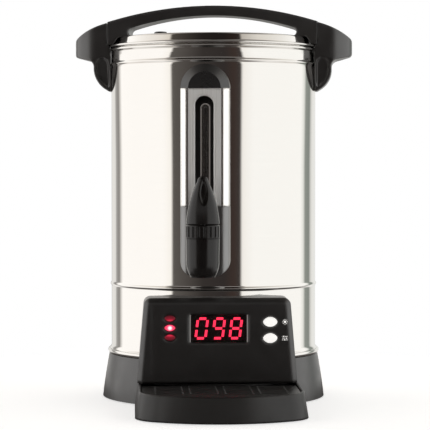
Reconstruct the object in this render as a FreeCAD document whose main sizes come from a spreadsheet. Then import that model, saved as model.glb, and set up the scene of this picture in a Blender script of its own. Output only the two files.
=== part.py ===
import FreeCAD, Part
import math
import os
import re
import Sketcher
from FreeCAD import Placement, Rotation, Vector

# Electric hot-water urn: a drawn steel tank with a sight gauge, a tap, a lid and two ear handles, on a
# flared plastic base that carries the control panel and the drip tray.
#
# Every sub-part is drawn about the tank's vertical axis, with +Z up and the front of its own group
# towards -Y.  Two groups share that axis.  The base group (base, panel, tray) faces -Y.  The tank group
# (tank, handles, gauge, tap, lid) is turned about the axis by body_turn.  The document's origin is on
# the counter, under the middle of the whole urn.

DIMENSIONS = [
    # alias, value in mm or degrees, meaning
    ("body_turn", -6.4, "how far the tank group is turned about Z from the base group, degrees"),
    # tank
    ("tank_r", 110, "outer radius of the tank wall"),
    ("tank_gauge", 0.8, "thickness of the tank's sheet"),
    ("skirt_z", 52.3, "lower edge of the tank wall"),
    ("rim_z", 374, "upper edge of the tank wall"),
    ("rim_roll", 2, "how far the rolled rim stands out"),
    ("low_bead_z", 122, "height of the lower pressed bead"),
    ("top_bead_z", 357, "height of the upper pressed bead"),
    ("bead_out", 1.2, "how far a bead stands out"),
    ("bead_half", 2.8, "half the height of a bead"),
    ("floor_z", 124, "underside of the tank's floor"),
    ("floor_lip", 9, "height of the floor's welded lip"),
    # lid
    ("lid_flange_r", 113, "radius of the lid's flange"),
    ("lid_flange_z", 374.6, "underside of the lid's flange"),
    ("lid_crown_r", 105, "radius of the lid's raised crown at the flange"),
    ("lid_top_r", 101.5, "radius of the crown where it turns into the top"),
    ("lid_top_z", 386, "height of the lid's flat top"),
    ("lid_gauge", 0.8, "thickness of the lid's sheet"),
    ("lid_plug_r", 106.6, "radius of the lid's skirt inside the tank"),
    ("lid_plug_z", 364, "lower edge of that skirt"),
    # handles
    ("arch_top_z", 420, "top of the lid's arched grip"),
    ("arch_low_z", 409.2, "underside of the arched grip at its middle"),
    ("arch_seam_z", 400.8, "top of the grip where it meets the ear handles"),
    ("arch_half", 16, "half the width of the grip at its middle"),
    ("ear_half", 27, "half the width of the grip's ends and of the ear handles"),
    ("seam_r", 115, "radius of the lid handle's end faces"),
    ("seam_gap", 0.6, "gap between the lid handle and an ear handle"),
    ("ear_reach", 149.4, "how far an ear handle reaches from the axis"),
    ("leg_low_z", 328, "lower tip of an ear handle's leg"),
    # steam vent in the lid
    ("vent_x", -52, "middle of the steam vent, to the left of the axis"),
    ("vent_y", -54, "middle of the steam vent, in front of the axis"),
    ("vent_r", 6.8, "radius of the vent's cap"),
    ("vent_tall", 3.4, "height of the vent's cap above the lid"),
    ("vent_stem_r", 2.9, "radius of the vent's stem"),
    # gauge column
    ("gauge_half", 25, "half the width of the gauge column"),
    ("gauge_front", 135, "front of the gauge column, from the axis"),
    ("gauge_bevel", 8.4, "width of the column's side bevels"),
    ("bevel_deep", 8, "depth of the column's side bevels"),
    ("gauge_low_z", 136, "bottom of the column"),
    ("cover_low_z", 207, "lower end of the steel cover"),
    ("cover_top_z", 327, "upper end of the steel cover"),
    ("cover_gauge", 1, "thickness of the steel cover"),
    ("slot_half", 9.4, "half the width of the cover's slot"),
    ("slot_top_z", 319, "top of the cover's slot"),
    ("slot_lip", 2.1, "width of the raised lip round the slot"),
    ("tube_r", 5, "outer radius of the sight glass"),
    ("tube_reach", 121, "axis of the sight glass, from the tank's axis"),
    ("tube_top_z", 312, "upper end of the sight glass"),
    ("tube_low_z", 169.5, "lower end of the sight glass"),
    # tap
    ("tap_reach", 155, "axis of the tap, from the tank's axis"),
    ("tap_low_z", 136.6, "mouth of the tap"),
    ("tap_mouth_r", 12.6, "outer radius of the mouth"),
    ("tap_r", 17, "outer radius of the tap's barrel"),
    ("outlet_r", 7, "radius of the outlet bore"),
    ("chamber_r", 11, "radius of the valve chamber"),
    ("seat_z", 156, "height of the valve seat"),
    ("shank_z", 164, "axis of the tap's shank"),
    ("shank_r", 8, "outer radius of the shank"),
    ("shank_bore_r", 4.5, "bore radius of the shank"),
    ("collar_low_z", 175.5, "lower edge of the ribbed collar"),
    ("collar_top_z", 189.5, "upper edge of the ribbed collar"),
    ("collar_ribs", 18, "ribs round the collar"),
    ("lever_tip_z", 238, "tip of the tap's lever"),
    ("stem_r", 2.5, "radius of the valve stem"),
    ("lever_pin_z", 195.5, "height of the pin that joins stem and lever"),
    # base
    ("base_top_r", 112.5, "radius of the base ring at its top"),
    ("base_low_r", 119.5, "radius of the base ring at its foot"),
    ("base_top_z", 48, "top of the base ring"),
    ("base_low_z", 0.8, "lower edge of the base ring"),
    ("base_wall", 2.8, "wall of the base ring"),
    ("plate_low_z", 3.2, "underside of the base plate"),
    ("plate_top_z", 5.7, "top of the base plate"),
    ("boss_ring_r", 97, "circle of the feet and base screws"),
    ("screw_r", 1.7, "radius of the self-tapping screws"),
    ("foot_r", 11, "radius of a rubber foot"),
    # control panel
    ("panel_top_half", 74.5, "half the width of the panel at its top"),
    ("panel_low_half", 81.8, "half the width of the panel at its foot"),
    ("panel_shift", 1.2, "how far the panel's outline sits to the left of the base's middle"),
    ("panel_top_z", 113.6, "top of the panel"),
    ("panel_low_z", 27, "foot of the panel"),
    ("panel_front", 126, "front face of the panel, from the axis"),
    ("panel_wall", 2.5, "wall of the panel's housing"),
    ("panel_bevel", 4.4, "bevel round the panel's front face"),
    ("window_half", 29.8, "half the width of the display window"),
    ("window_tall", 28.2, "height of the display window"),
    ("window_z", 82.7, "middle height of the display window"),
    ("digit_tall", 20, "height of a digit"),
    ("led_x", -49.8, "middle of the three indicator lamps"),
    ("led_z", 83.4, "height of the middle lamp"),
    ("led_pitch", 9.9, "spacing of the lamps"),
    ("lamp_half", 5.4, "half the length of a lamp's lens"),
    ("lamp_high", 2.9, "half the height of a lamp's lens"),
    ("button_x", 52.5, "middle of the two buttons"),
    ("button_z", 81, "height midway between the buttons"),
    ("button_pitch", 16.6, "spacing of the buttons"),
    ("button_half", 7, "half the length of a button"),
    ("button_high", 4.8, "half the height of a button"),
    ("board_front", 115.6, "front face of the control board, from the axis"),
    ("board_thick", 1.6, "thickness of a circuit board"),
    # drip tray
    ("tray_reach", 241, "front of the drip tray, from the axis"),
    ("tray_half_top", 81.6, "half the width of the tray at its rim"),
    ("tray_flare", 4, "how much further the tray reaches out at its foot"),
    ("tray_rim_z", 26, "rim of the tray"),
    ("tray_low_z", 0.5, "underside of the tray"),
    ("tray_wall", 2.6, "wall of the tray"),
    ("tray_inner_r", 120.4, "radius of the hollow in the tray's back, round the base"),
    ("grille_top_z", 24.6, "top of the grille"),
    ("grille_thick", 2.4, "thickness of the grille"),
    ("grille_back", 128.4, "straight back edge of the grille, from the axis"),
    # mains inlet
    ("inlet_back", 122.5, "rear face of the mains inlet, from the axis"),
    ("inlet_seat", 119.5, "flat seat of the inlet on the base ring, from the axis"),
    ("inlet_z", 25, "middle height of the inlet"),
    # fits
    ("fit_gap", 0.3, "clearance between neighbours that don't touch"),
    ("touch_gap", 0.05, "clearance between neighbours that rest on each other"),
]

doc = FreeCAD.newDocument("hot_water_urn")
sheet = doc.addObject("Spreadsheet::Sheet", "dims")
for row, (alias, number, meaning) in enumerate(DIMENSIONS, start=1):
    sheet.set(f"A{row}", meaning)
    sheet.set(f"B{row}", str(number))
    sheet.setAlias(f"B{row}", alias)
doc.recompute()

FUNCTIONS = {"sqrt", "sin", "cos", "tan"}
sub_parts = []


def expr(text):
    """A formula in plain aliases, written as an expression on the sheet."""
    def name(match):
        word = match.group(0)
        return word if word in FUNCTIONS else "dims." + word
    return re.sub(r"[a-z][a-z0-9_]*", name, str(text))


def value(text):
    """The number that a formula gives."""
    return float(sheet.evalExpression(expr(text)))


def vessel_placement(turned=False, offset=(0, 0, 0)):
    """Where the tank's axis stands, with the group's turn, and an offset drawn in that group."""
    axis_y = value("(tray_reach - inlet_back) / 2")
    turn = value("body_turn") if turned else 0
    group = Placement(Vector(0, axis_y, 0), Rotation(Vector(0, 0, 1), turn))
    local = Placement(Vector(*[value(step) for step in offset]), Rotation())
    return group.multiply(local)


def new_body(name, turned=False, offset=(0, 0, 0), several=False):
    """A PartDesign body for one sub-part, placed in its group."""
    body = doc.addObject("PartDesign::Body", name)
    body.Label = name
    body.AllowCompound = several
    body.Placement = vessel_placement(turned, offset)
    sub_parts.append(body)
    return body


def origin_feature(body, role):
    return next(item for item in body.Origin.OriginFeatures if item.Role == role)


def bind(owner, prop, formula):
    owner.setExpression(prop, expr(formula))


# ---------------------------------------------------------------- outlines

def via(x, y):
    """A point that the arc between its two neighbours passes through."""
    return ("via", x, y)


def box_loop(x0, y0, x1, y1):
    return [(x0, y0), (x1, y0), (x1, y1), (x0, y1)]


def circle_loop(x, y, r):
    return [("circle", x, y, r)]


def round_box_loop(x0, y0, x1, y1, r):
    """A rectangle with corners of radius r."""
    cut = f"({r}) * 0.292893"
    return [
        (f"{x0} + {r}", y0), (f"{x1} - ({r})", y0), via(f"{x1} - {cut}", f"{y0} + {cut}"),
        (x1, f"{y0} + {r}"), (x1, f"{y1} - ({r})"), via(f"{x1} - {cut}", f"{y1} - {cut}"),
        (f"{x1} - ({r})", y1), (f"{x0} + {r}", y1), via(f"{x0} + {cut}", f"{y1} - {cut}"),
        (x0, f"{y1} - ({r})"), (x0, f"{y0} + {r}"), via(f"{x0} + {cut}", f"{y0} + {cut}"),
    ]


def oval_loop(x, y, half, r):
    """A lying slot: its half length and its end radius."""
    left, right = f"{x} - ({half}) + {r}", f"{x} + {half} - ({r})"
    low, high = f"{y} - ({r})", f"{y} + {r}"
    return [(left, low), (right, low), via(f"{x} + {half}", y), (right, high), (left, high),
            via(f"{x} - ({half})", y)]


def eye_loop(x, y, half, high):
    """A lying eye shape: its half length and half height, with small round tips."""
    left, right = f"{x} - ({half}) + ({high}) * 0.076", f"{x} + {half} - ({high}) * 0.076"
    low, high_end = f"{y} - ({high}) * 0.27", f"{y} + ({high}) * 0.27"
    return [
        (left, high_end), via(x, f"{y} + {high}"), (right, high_end), via(f"{x} + {half}", y),
        (right, low), via(x, f"{y} - ({high})"), (left, low), via(f"{x} - ({half})", y),
    ]


def fix_point(sketch, geometry, position, x, y):
    """Hold one point of the sketch at a place given by two formulas."""
    for kind, formula in (("DistanceX", x), ("DistanceY", y)):
        index = sketch.addConstraint(Sketcher.Constraint(kind, geometry, position, value(formula)))
        sketch.setExpression(f"Constraints[{index}]", expr(formula))


def draw_circle(sketch, x, y, r):
    circle = Part.Circle(Vector(value(x), value(y), 0), Vector(0, 0, 1), value(r))
    index = sketch.addGeometry(circle, False)
    fix_point(sketch, index, 3, x, y)
    size = sketch.addConstraint(Sketcher.Constraint("Radius", index, value(r)))
    sketch.setExpression(f"Constraints[{size}]", expr(r))


def draw_loop(sketch, loop):
    """A closed outline of corners joined by straight edges or by arcs through their via points."""
    if loop[0][0] == "circle":
        draw_circle(sketch, *loop[0][1:])
        return
    corners = [item for item in loop if item[0] != "via"]
    vias = {}
    seen = -1
    for item in loop:
        if item[0] == "via":
            vias[seen] = item
        else:
            seen += 1
    ends = []
    for step, corner in enumerate(corners):
        following = corners[(step + 1) % len(corners)]
        start = Vector(value(corner[0]), value(corner[1]), 0)
        finish = Vector(value(following[0]), value(following[1]), 0)
        if step in vias:
            middle = Vector(value(vias[step][1]), value(vias[step][2]), 0)
            index = sketch.addGeometry(Part.Arc(start, middle, finish), False)
            forwards = sketch.getPoint(index, 1).distanceToPoint(start) < 1e-6
            point = sketch.addGeometry(Part.Point(middle), True)
            sketch.addConstraint(Sketcher.Constraint("PointOnObject", point, 1, index))
            fix_point(sketch, point, 1, vias[step][1], vias[step][2])
        else:
            index = sketch.addGeometry(Part.LineSegment(start, finish), False)
            forwards = True
        ends.append((index, 1, 2) if forwards else (index, 2, 1))
    for step, corner in enumerate(corners):
        index, first, _ = ends[step]
        before, _, last = ends[step - 1]
        sketch.addConstraint(Sketcher.Constraint("Coincident", before, last, index, first))
        fix_point(sketch, index, first, corner[0], corner[1])


def new_sketch(body, plane, loops, level="0"):
    """A sketch on one of the body's own planes, moved along that plane's normal by level."""
    sketch = body.newObject("Sketcher::SketchObject", body.Name + "_sketch")
    sketch.AttachmentSupport = [(origin_feature(body, plane + "_Plane"), "")]
    sketch.MapMode = "FlatFace"
    bind(sketch, "AttachmentOffset.Base.z", level)
    for loop in loops:
        draw_loop(sketch, loop)
    return sketch


# ---------------------------------------------------------------- features
# Planes: XY is seen from above; XZ is seen from the front, and its levels are distances in front of
# the axis; YZ is seen from the right, and its levels run towards +X.

def solid_volume(body):
    return 0 if body.Shape.isNull() else body.Shape.Volume


def check_change(body, before, grows):
    change = solid_volume(body) - before
    if (change > 0) != grows or abs(change) < 1e-3:
        raise RuntimeError(f"{body.Label}: {body.Tip.Name} changed the volume by {change:.4f}")


def add(body, plane, loops, start, end):
    """Pad the loops from one level to another."""
    before = solid_volume(body)
    pad = body.newObject("PartDesign::Pad", body.Name + "_pad")
    pad.Profile = new_sketch(body, plane, loops, start)
    bind(pad, "Length", f"({end}) - ({start})")
    doc.recompute()
    check_change(body, before, True)
    return pad


def cut(body, plane, loops, start, end):
    """Cut the loops out of the body between two levels."""
    before = solid_volume(body)
    pocket = body.newObject("PartDesign::Pocket", body.Name + "_pocket")
    pocket.Profile = new_sketch(body, plane, loops, end)
    bind(pocket, "Length", f"({end}) - ({start})")
    doc.recompute()
    check_change(body, before, False)
    return pocket


def spin(body, loops, kind="Revolution", angle=360):
    """Turn loops of (radius, height) about the body's Z axis, as material or as a Groove."""
    before = solid_volume(body)
    feature = body.newObject("PartDesign::" + kind, body.Name + "_" + kind.lower())
    feature.Profile = new_sketch(body, "XZ", loops)
    feature.ReferenceAxis = (origin_feature(body, "Z_Axis"), [""])
    feature.Angle = angle
    doc.recompute()
    check_change(body, before, kind == "Revolution")
    return feature


def repeat(body, features, count):
    """Repeat features evenly about the body's Z axis."""
    pattern = body.newObject("PartDesign::PolarPattern", body.Name + "_pattern")
    pattern.Originals = features
    pattern.Axis = (origin_feature(body, "Z_Axis"), [""])
    pattern.Angle = 360
    bind(pattern, "Occurrences", count)
    body.Tip = pattern
    doc.recompute()


def repeat_forwards(body, feature, length, count):
    """Repeat a feature evenly towards the front."""
    pattern = body.newObject("PartDesign::LinearPattern", body.Name + "_pattern")
    pattern.Originals = [feature]
    pattern.Direction = (origin_feature(body, "Y_Axis"), [""])
    pattern.Reversed = True
    bind(pattern, "Length", length)
    bind(pattern, "Occurrences", count)
    body.Tip = pattern
    doc.recompute()


def soften(body, size, pick, kind="Fillet"):
    """Round or bevel the edges that pick chooses."""
    tip = body.Tip
    names = [f"Edge{number}" for number, edge in enumerate(tip.Shape.Edges, start=1) if pick(edge)]
    if not names:
        raise RuntimeError(f"{body.Label}: no edge to soften")
    feature = body.newObject("PartDesign::" + kind, body.Name + "_" + kind.lower())
    feature.Base = (tip, names)
    bind(feature, "Radius" if kind == "Fillet" else "Size", size)
    doc.recompute()
    return feature


def hoop(r, z):
    """Picks the circular edge of radius r at height z."""
    def pick(edge):
        curve = edge.Curve
        if not isinstance(curve, Part.Circle):
            return False
        return abs(curve.Radius - value(r)) < 0.01 and abs(curve.Center.z - value(z)) < 0.01
    return pick


def lies_at(axis, *levels):
    """Picks edges that lie wholly at one of the levels along an axis (0 for X, 1 for Y, 2 for Z)."""
    def pick(edge):
        box = edge.BoundBox
        low = (box.XMin, box.YMin, box.ZMin)[axis]
        high = (box.XMax, box.YMax, box.ZMax)[axis]
        return any(abs(low - value(z)) < 0.02 and abs(high - value(z)) < 0.02 for z in levels)
    return pick


def set_shape(name, shape, turned=False):
    """A sub-part whose shape is worked out from the sheet's values."""
    feature = doc.addObject("Part::Feature", name)
    feature.Label = name
    feature.Shape = shape
    feature.Placement = vessel_placement(turned)
    sub_parts.append(feature)
    return feature


# ---------------------------------------------------------------- tank

def bead(level, r, out):
    """The outline of a pressed bead, going up."""
    return [
        (r, f"{level} - bead_half"), via(f"{r} + {out}", level), (r, f"{level} + bead_half"),
    ]


HANDLE_SCREW_LEVELS = ("339", "352")


def tank_wall():
    """The drawn wall: flared at its foot, with two pressed beads and a rolled rim."""
    body = new_body("tank_wall", turned=True)
    outer = "tank_r"
    inner = "tank_r - tank_gauge"
    going_up = [
        ("tank_r + 1.8", "skirt_z"), ("tank_r + 1.8", "skirt_z + 0.8"),
        via("tank_r + 0.7", "skirt_z + 1.6"), (outer, "skirt_z + 4"),
    ]
    going_up += bead("low_bead_z", outer, "bead_out") + bead("top_bead_z", outer, "bead_out")
    going_up += [(outer, "rim_z - 4.4"), via("tank_r + rim_roll", "rim_z - 2.2"), (outer, "rim_z")]
    going_down = [(inner, "rim_z")]
    going_down += bead("top_bead_z", inner, "bead_out")[::-1]
    going_down += bead("low_bead_z", inner, "bead_out")[::-1]
    going_down += [(inner, "skirt_z")]
    spin(body, [going_up + going_down])
    handle_holes = [circle_loop("0", z, "screw_r + fit_gap") for z in HANDLE_SCREW_LEVELS]
    cut(body, "YZ", handle_holes, "-tank_r - 5", "tank_r + 5")
    cut(body, "XZ", [circle_loop("0", "shank_z", "shank_r + fit_gap")], "90", "tank_r + 5")
    cut(body, "XZ", [box_loop("-24", "64", "24", "96")], "90", "tank_r + 5")


def tank_floor():
    """The pressed floor, welded in by its upturned lip."""
    body = new_body("tank_floor", turned=True)
    edge = "tank_r - tank_gauge - touch_gap"
    spin(body, [[
        ("0", "floor_z"), (f"{edge} - 3", "floor_z"), via(f"{edge} - 0.9", "floor_z + 0.9"),
        (edge, "floor_z + 3"), (edge, "floor_z + floor_lip"), (f"{edge} - 1", "floor_z + floor_lip"),
        (f"{edge} - 1", "floor_z + 3.2"), via(f"{edge} - 1.7", "floor_z + 1.7"),
        (f"{edge} - 3.2", "floor_z + 1"), ("0", "floor_z + 1"),
    ]])


def trim_ring():
    """The steel ring between the tank's flared foot and the base ring."""
    body = new_body("trim_ring", turned=True)
    spin(body, [[
        ("tank_r - 6", "base_top_z"), ("lid_flange_r", "base_top_z"),
        via("lid_flange_r + 0.9", "base_top_z + 2"), ("lid_flange_r", "base_top_z + 4"),
        ("tank_r - 6", "base_top_z + 4"),
    ]])


def heater_plate():
    """The aluminium plate cast under the tank's floor."""
    body = new_body("heater_plate", turned=True)
    spin(body, [[("0", "floor_z - 6"), ("84", "floor_z - 6"), ("84", "floor_z"), ("0", "floor_z")]])
    soften(body, "1", hoop("84", "floor_z - 6"))


def heating_element():
    """The sheathed heating ring with its two cold pins."""
    body = new_body("heating_element", turned=True)
    ring_z = "floor_z - 10"
    spin(body, [circle_loop("62", ring_z, "3.9")], angle=330)
    ends = [circle_loop("62", "0", "2"), circle_loop("62 * cos(330)", "62 * sin(330)", "2")]
    add(body, "XY", ends, "floor_z - 30", ring_z)


def thermostat():
    """The snap-disc thermostat under the middle of the heater plate."""
    body = new_body("thermostat", turned=True)
    add(body, "XY", [circle_loop("0", "0", "8.5")], "floor_z - 14", "floor_z - 6")
    add(body, "XY", [box_loop("-7", "-1.5", "-4", "1.5"), box_loop("4", "-1.5", "7", "1.5")],
        "floor_z - 22", "floor_z - 13")


def thermal_cutout():
    """The boil-dry cut-out beside the thermostat."""
    body = new_body("thermal_cutout", turned=True, offset=("26", "20", "0"))
    add(body, "XY", [circle_loop("0", "0", "6")], "floor_z - 13", "floor_z - 6")
    add(body, "XY", [box_loop("-1", "-4.5", "1", "-2"), box_loop("-1", "2", "1", "4.5")],
        "floor_z - 20", "floor_z - 12")


# ---------------------------------------------------------------- lid

LID_SCREW_X = "94"


def lid_shell():
    """The pressed lid: flat top, rounded crown, rolled flange and a skirt that plugs into the tank."""
    body = new_body("lid_shell", turned=True)
    flange_top = "lid_flange_z + 2.4"
    spin(body, [[
        ("0", "lid_top_z - lid_gauge"), ("lid_top_r - 3", "lid_top_z - lid_gauge"),
        via("lid_top_r - 1", "lid_top_z - 1.7"), ("lid_top_r - lid_gauge", "lid_top_z - 3.8"),
        ("lid_plug_r - lid_gauge", "lid_plug_z"), ("lid_plug_r", "lid_plug_z"),
        ("lid_plug_r", "lid_flange_z"), ("lid_flange_r - 1.2", "lid_flange_z"),
        via("lid_flange_r", "lid_flange_z + 1.2"), ("lid_flange_r - 1.2", flange_top),
        ("lid_crown_r + 1.5", flange_top), via("lid_crown_r + 0.3", "lid_flange_z + 2.9"),
        ("lid_crown_r - 0.4", "lid_flange_z + 4"), ("lid_top_r", "lid_top_z - 3"),
        via("lid_top_r - 0.9", "lid_top_z - 0.8"), ("lid_top_r - 3", "lid_top_z"), ("0", "lid_top_z"),
    ]])
    holes = [circle_loop(f"{side} * {LID_SCREW_X}", "0", "screw_r + fit_gap") for side in ("1", "-1")]
    holes.append(circle_loop("vent_x", "vent_y", "vent_stem_r + touch_gap"))
    cut(body, "XY", holes, "lid_top_z - 3", "lid_top_z + 1")


def lid_gasket():
    """The silicone ring between the lid's flange and the tank's rim."""
    body = new_body("lid_gasket", turned=True)
    edge = "tank_r - tank_gauge - fit_gap"
    spin(body, [[
        ("lid_plug_r + fit_gap", "lid_plug_z + 3"), ("lid_plug_r + 1", "lid_plug_z + 3"),
        (edge, "lid_plug_z + 5"), (edge, "lid_plug_z + 8"), ("lid_plug_r + fit_gap", "lid_plug_z + 8"),
    ]])


def arch_plan():
    """The lid handle from above: a waisted bar with end faces turned about the tank's axis."""
    end_x = "sqrt(seam_r * seam_r - ear_half * ear_half)"
    return [
        (end_x, "-ear_half"), via("seam_r", "0"), (end_x, "ear_half"), via("0", "arch_half"),
        (f"-{end_x}", "ear_half"), via("-seam_r", "0"), (f"-{end_x}", "-ear_half"),
        via("0", "-arch_half"),
    ]


def lid_handle():
    """The arched grip: two feet on the lid's crown, and a finger gap between them."""
    body = new_body("lid_handle", turned=True)
    reach = "seam_r + 2"
    foot_z = "lid_flange_z + 2.8"
    lid_z = "lid_top_z + touch_gap"
    end_z = "arch_seam_z - 0.4"
    outline = [
        ("lid_crown_r + 0.9", foot_z), (reach, foot_z), (reach, end_z), via("0", "arch_top_z"),
        (f"-({reach})", end_z), (f"-({reach})", foot_z), ("-lid_crown_r - 0.9", foot_z),
        ("-lid_top_r - 0.6", "lid_top_z - 2.4"), ("-lid_top_r + 1.4", lid_z), ("-80", lid_z),
        ("-81.5", "lid_top_z + 2"), via("-90", "lid_top_z + 5.4"), ("-86", "arch_low_z - 13"),
        via("0", "arch_low_z"), ("86", "arch_low_z - 13"), via("90", "lid_top_z + 5.4"),
        ("81.5", "lid_top_z + 2"), ("80", lid_z), ("lid_top_r - 1.4", lid_z),
        ("lid_top_r + 0.6", "lid_top_z - 2.4"),
    ]
    add(body, "XZ", [outline], "-ear_half", "ear_half")
    cut(body, "XY", [box_loop("-130", "-40", "130", "40"), arch_plan()], "lid_plug_z", "arch_top_z + 5")
    pilots = [circle_loop(f"{side} * {LID_SCREW_X}", "0", "screw_r") for side in ("1", "-1")]
    cut(body, "XY", pilots, "lid_top_z - 4", "lid_top_z + 9")
    spin(body, [[
        ("90", "lid_flange_z"), ("lid_crown_r + 0.8", "lid_flange_z"),
        ("lid_crown_r + 0.5", "lid_flange_z + 4"), ("lid_top_r + 0.5", "lid_top_z - 2.4"),
        ("lid_top_r - 1", "lid_top_z + touch_gap"), ("90", "lid_top_z + touch_gap"),
    ]], kind="Groove")


def lid_vent():
    """The steam vent: a low cap on a stem that snaps into the lid, with a bore and a cross slot."""
    body = new_body("lid_vent", turned=True, offset=("vent_x", "vent_y", "0"))
    sheet_low = "lid_top_z - lid_gauge - touch_gap"
    cap_low = "lid_top_z + touch_gap"
    cap_top = "lid_top_z + vent_tall"
    spin(body, [[
        ("1.2", f"{sheet_low} - 1.6"), ("vent_stem_r", f"{sheet_low} - 1.6"),
        ("vent_stem_r + 1.1", f"{sheet_low} - 1"), ("vent_stem_r + 1.1", sheet_low),
        ("vent_stem_r", sheet_low), ("vent_stem_r", cap_low), ("vent_r", cap_low),
        ("vent_r", f"{cap_top} - 1.8"), via("vent_r - 0.5", f"{cap_top} - 0.5"),
        ("vent_r - 1.8", cap_top), ("1.2", cap_top),
    ]])
    cut(body, "YZ", [box_loop("-0.8", f"{cap_top} - 1.6", "0.8", f"{cap_top} + 1")], "-8", "8")


def lid_handle_screws():
    """Two screws from inside the lid into the feet of the arched grip."""
    body = new_body("lid_handle_screws", turned=True, several=True)
    head_top = "lid_top_z - lid_gauge - touch_gap"
    heads = [circle_loop(f"{side} * {LID_SCREW_X}", "0", "3.4") for side in ("1", "-1")]
    shanks = [circle_loop(f"{side} * {LID_SCREW_X}", "0", "screw_r - touch_gap") for side in ("1", "-1")]
    add(body, "XY", heads, "lid_top_z - 3.2", head_top)
    add(body, "XY", shanks, head_top, "lid_top_z + 8")


# ---------------------------------------------------------------- ear handles

def side_handle(name, flip):
    """An ear handle: a rounded ear that carries on the line of the arched grip, and a leg on the tank."""
    body = new_body(name, turned=True)
    top_start = "arch_seam_z + 1.2"
    outline = [
        ("100", top_start), ("seam_r - 6", top_start),
        via("ear_reach - 17", "arch_seam_z - 7"), ("ear_reach - 3", "arch_seam_z - 15.6"),
        via("ear_reach - 0.6", "arch_seam_z - 18"), ("ear_reach", "arch_seam_z - 21"),
        ("ear_reach", "arch_seam_z - 32"), via("ear_reach - 0.8", "arch_seam_z - 35"),
        ("ear_reach - 4", "arch_seam_z - 36.4"), ("ear_reach - 17.4", "arch_seam_z - 39.6"),
        via("ear_reach - 20.6", "arch_seam_z - 42"), ("ear_reach - 22", "arch_seam_z - 46"),
        via("ear_reach - 26.6", "leg_low_z + 9"), ("tank_r + 4", "leg_low_z + 1.4"),
        via("tank_r + 2", "leg_low_z + 0.2"), ("tank_r", "leg_low_z"), ("100", "leg_low_z"),
    ]
    add(body, "XZ", [outline], "-ear_half", "ear_half")
    back = "tank_r + fit_gap"
    back_x = "sqrt((tank_r + fit_gap) * (tank_r + fit_gap) - ear_half * ear_half)"
    plan = [
        (back_x, "-ear_half"), ("ear_reach - 24", "-ear_half + 0.5"), via("ear_reach", "0"),
        ("ear_reach - 24", "ear_half - 0.5"), (back_x, "ear_half"), via(back, "0"),
    ]
    cut(body, "XY", [box_loop("90", "-40", "160", "40"), plan], "leg_low_z - 10", "arch_top_z")
    bead_clear = "tank_r + bead_out + fit_gap"
    bead_low = "top_bead_z - bead_half - 1"
    rim_clear = "tank_r + rim_roll + fit_gap"
    flange_clear = "lid_flange_r + fit_gap"
    spin(body, [[
        ("95", bead_low), (bead_clear, bead_low), (bead_clear, "rim_z - 8"), (rim_clear, "rim_z - 8"),
        (rim_clear, "lid_flange_z - 0.6"), (flange_clear, "lid_flange_z - 0.6"),
        (flange_clear, "lid_flange_z + 2.6"), ("seam_r + seam_gap", "lid_flange_z + 2.6"),
        ("seam_r + seam_gap", "arch_top_z"), ("95", "arch_top_z"),
    ]], kind="Groove")
    taper = [[(f"{side} * 40", "leg_low_z - 2"), (f"{side} * 13", "leg_low_z - 2"),
              (f"{side} * 15", "leg_low_z + 4"), (f"{side} * ear_half", "rim_z - 10"),
              (f"{side} * 40", "rim_z - 10")] for side in ("1", "-1")]
    cut(body, "YZ", taper, "95", "140")
    pilots = [circle_loop("0", z, "screw_r") for z in HANDLE_SCREW_LEVELS]
    cut(body, "YZ", pilots, "105", "tank_r + 9")
    if flip:
        half_turn = Placement(Vector(0, 0, 0), Rotation(Vector(0, 0, 1), 180))
        body.Placement = body.Placement.multiply(half_turn)


def side_handle_screws():
    """Screws from inside the tank through the backing plates into the legs."""
    body = new_body("side_handle_screws", turned=True, several=True)
    seat = "tank_r - 2.4"
    heads = [circle_loop("0", z, "3.4") for z in HANDLE_SCREW_LEVELS]
    shanks = [circle_loop("0", z, "screw_r - touch_gap") for z in HANDLE_SCREW_LEVELS]
    head = add(body, "YZ", heads, f"{seat} - 2", seat)
    shank = add(body, "YZ", shanks, seat, "tank_r + 8")
    repeat(body, [head, shank], "2")


def handle_backing_plates():
    """Curved plates that spread the load of the handle screws inside the tank."""
    body = new_body("handle_backing_plates", turned=True, several=True)
    inner = "tank_r - tank_gauge - 1.5"
    outer = "tank_r - tank_gauge - touch_gap"
    half = "11"
    inner_x = f"sqrt(({inner}) * ({inner}) - {half} * {half})"
    outer_x = f"sqrt(({outer}) * ({outer}) - {half} * {half})"
    plate = [(inner_x, f"-{half}"), (outer_x, f"-{half}"), via(outer, "0"), (outer_x, half),
             (inner_x, half), via(inner, "0")]
    low, high = HANDLE_SCREW_LEVELS
    blank = add(body, "XY", [plate], f"{low} - 8", f"{high} + 8")
    holes = cut(body, "YZ", [circle_loop("0", z, "screw_r + fit_gap") for z in HANDLE_SCREW_LEVELS],
                "90", "tank_r + 2")
    repeat(body, [blank, holes], "2")


# ---------------------------------------------------------------- gauge column

def column_plan(front, half, bevel, deep, back):
    """The gauge column from above; y runs towards the back, so the front is negative."""
    return [
        (f"-({half})", f"-({back})"), (f"-({half})", f"-({front}) + {deep}"),
        via(f"-({half}) + ({bevel}) * 0.3", f"-({front}) + ({deep}) * 0.34"),
        (f"-({half}) + {bevel}", f"-({front})"), (f"{half} - ({bevel})", f"-({front})"),
        via(f"{half} - ({bevel}) * 0.3", f"-({front}) + ({deep}) * 0.34"),
        (half, f"-({front}) + {deep}"), (half, f"-({back})"),
    ]


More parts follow.
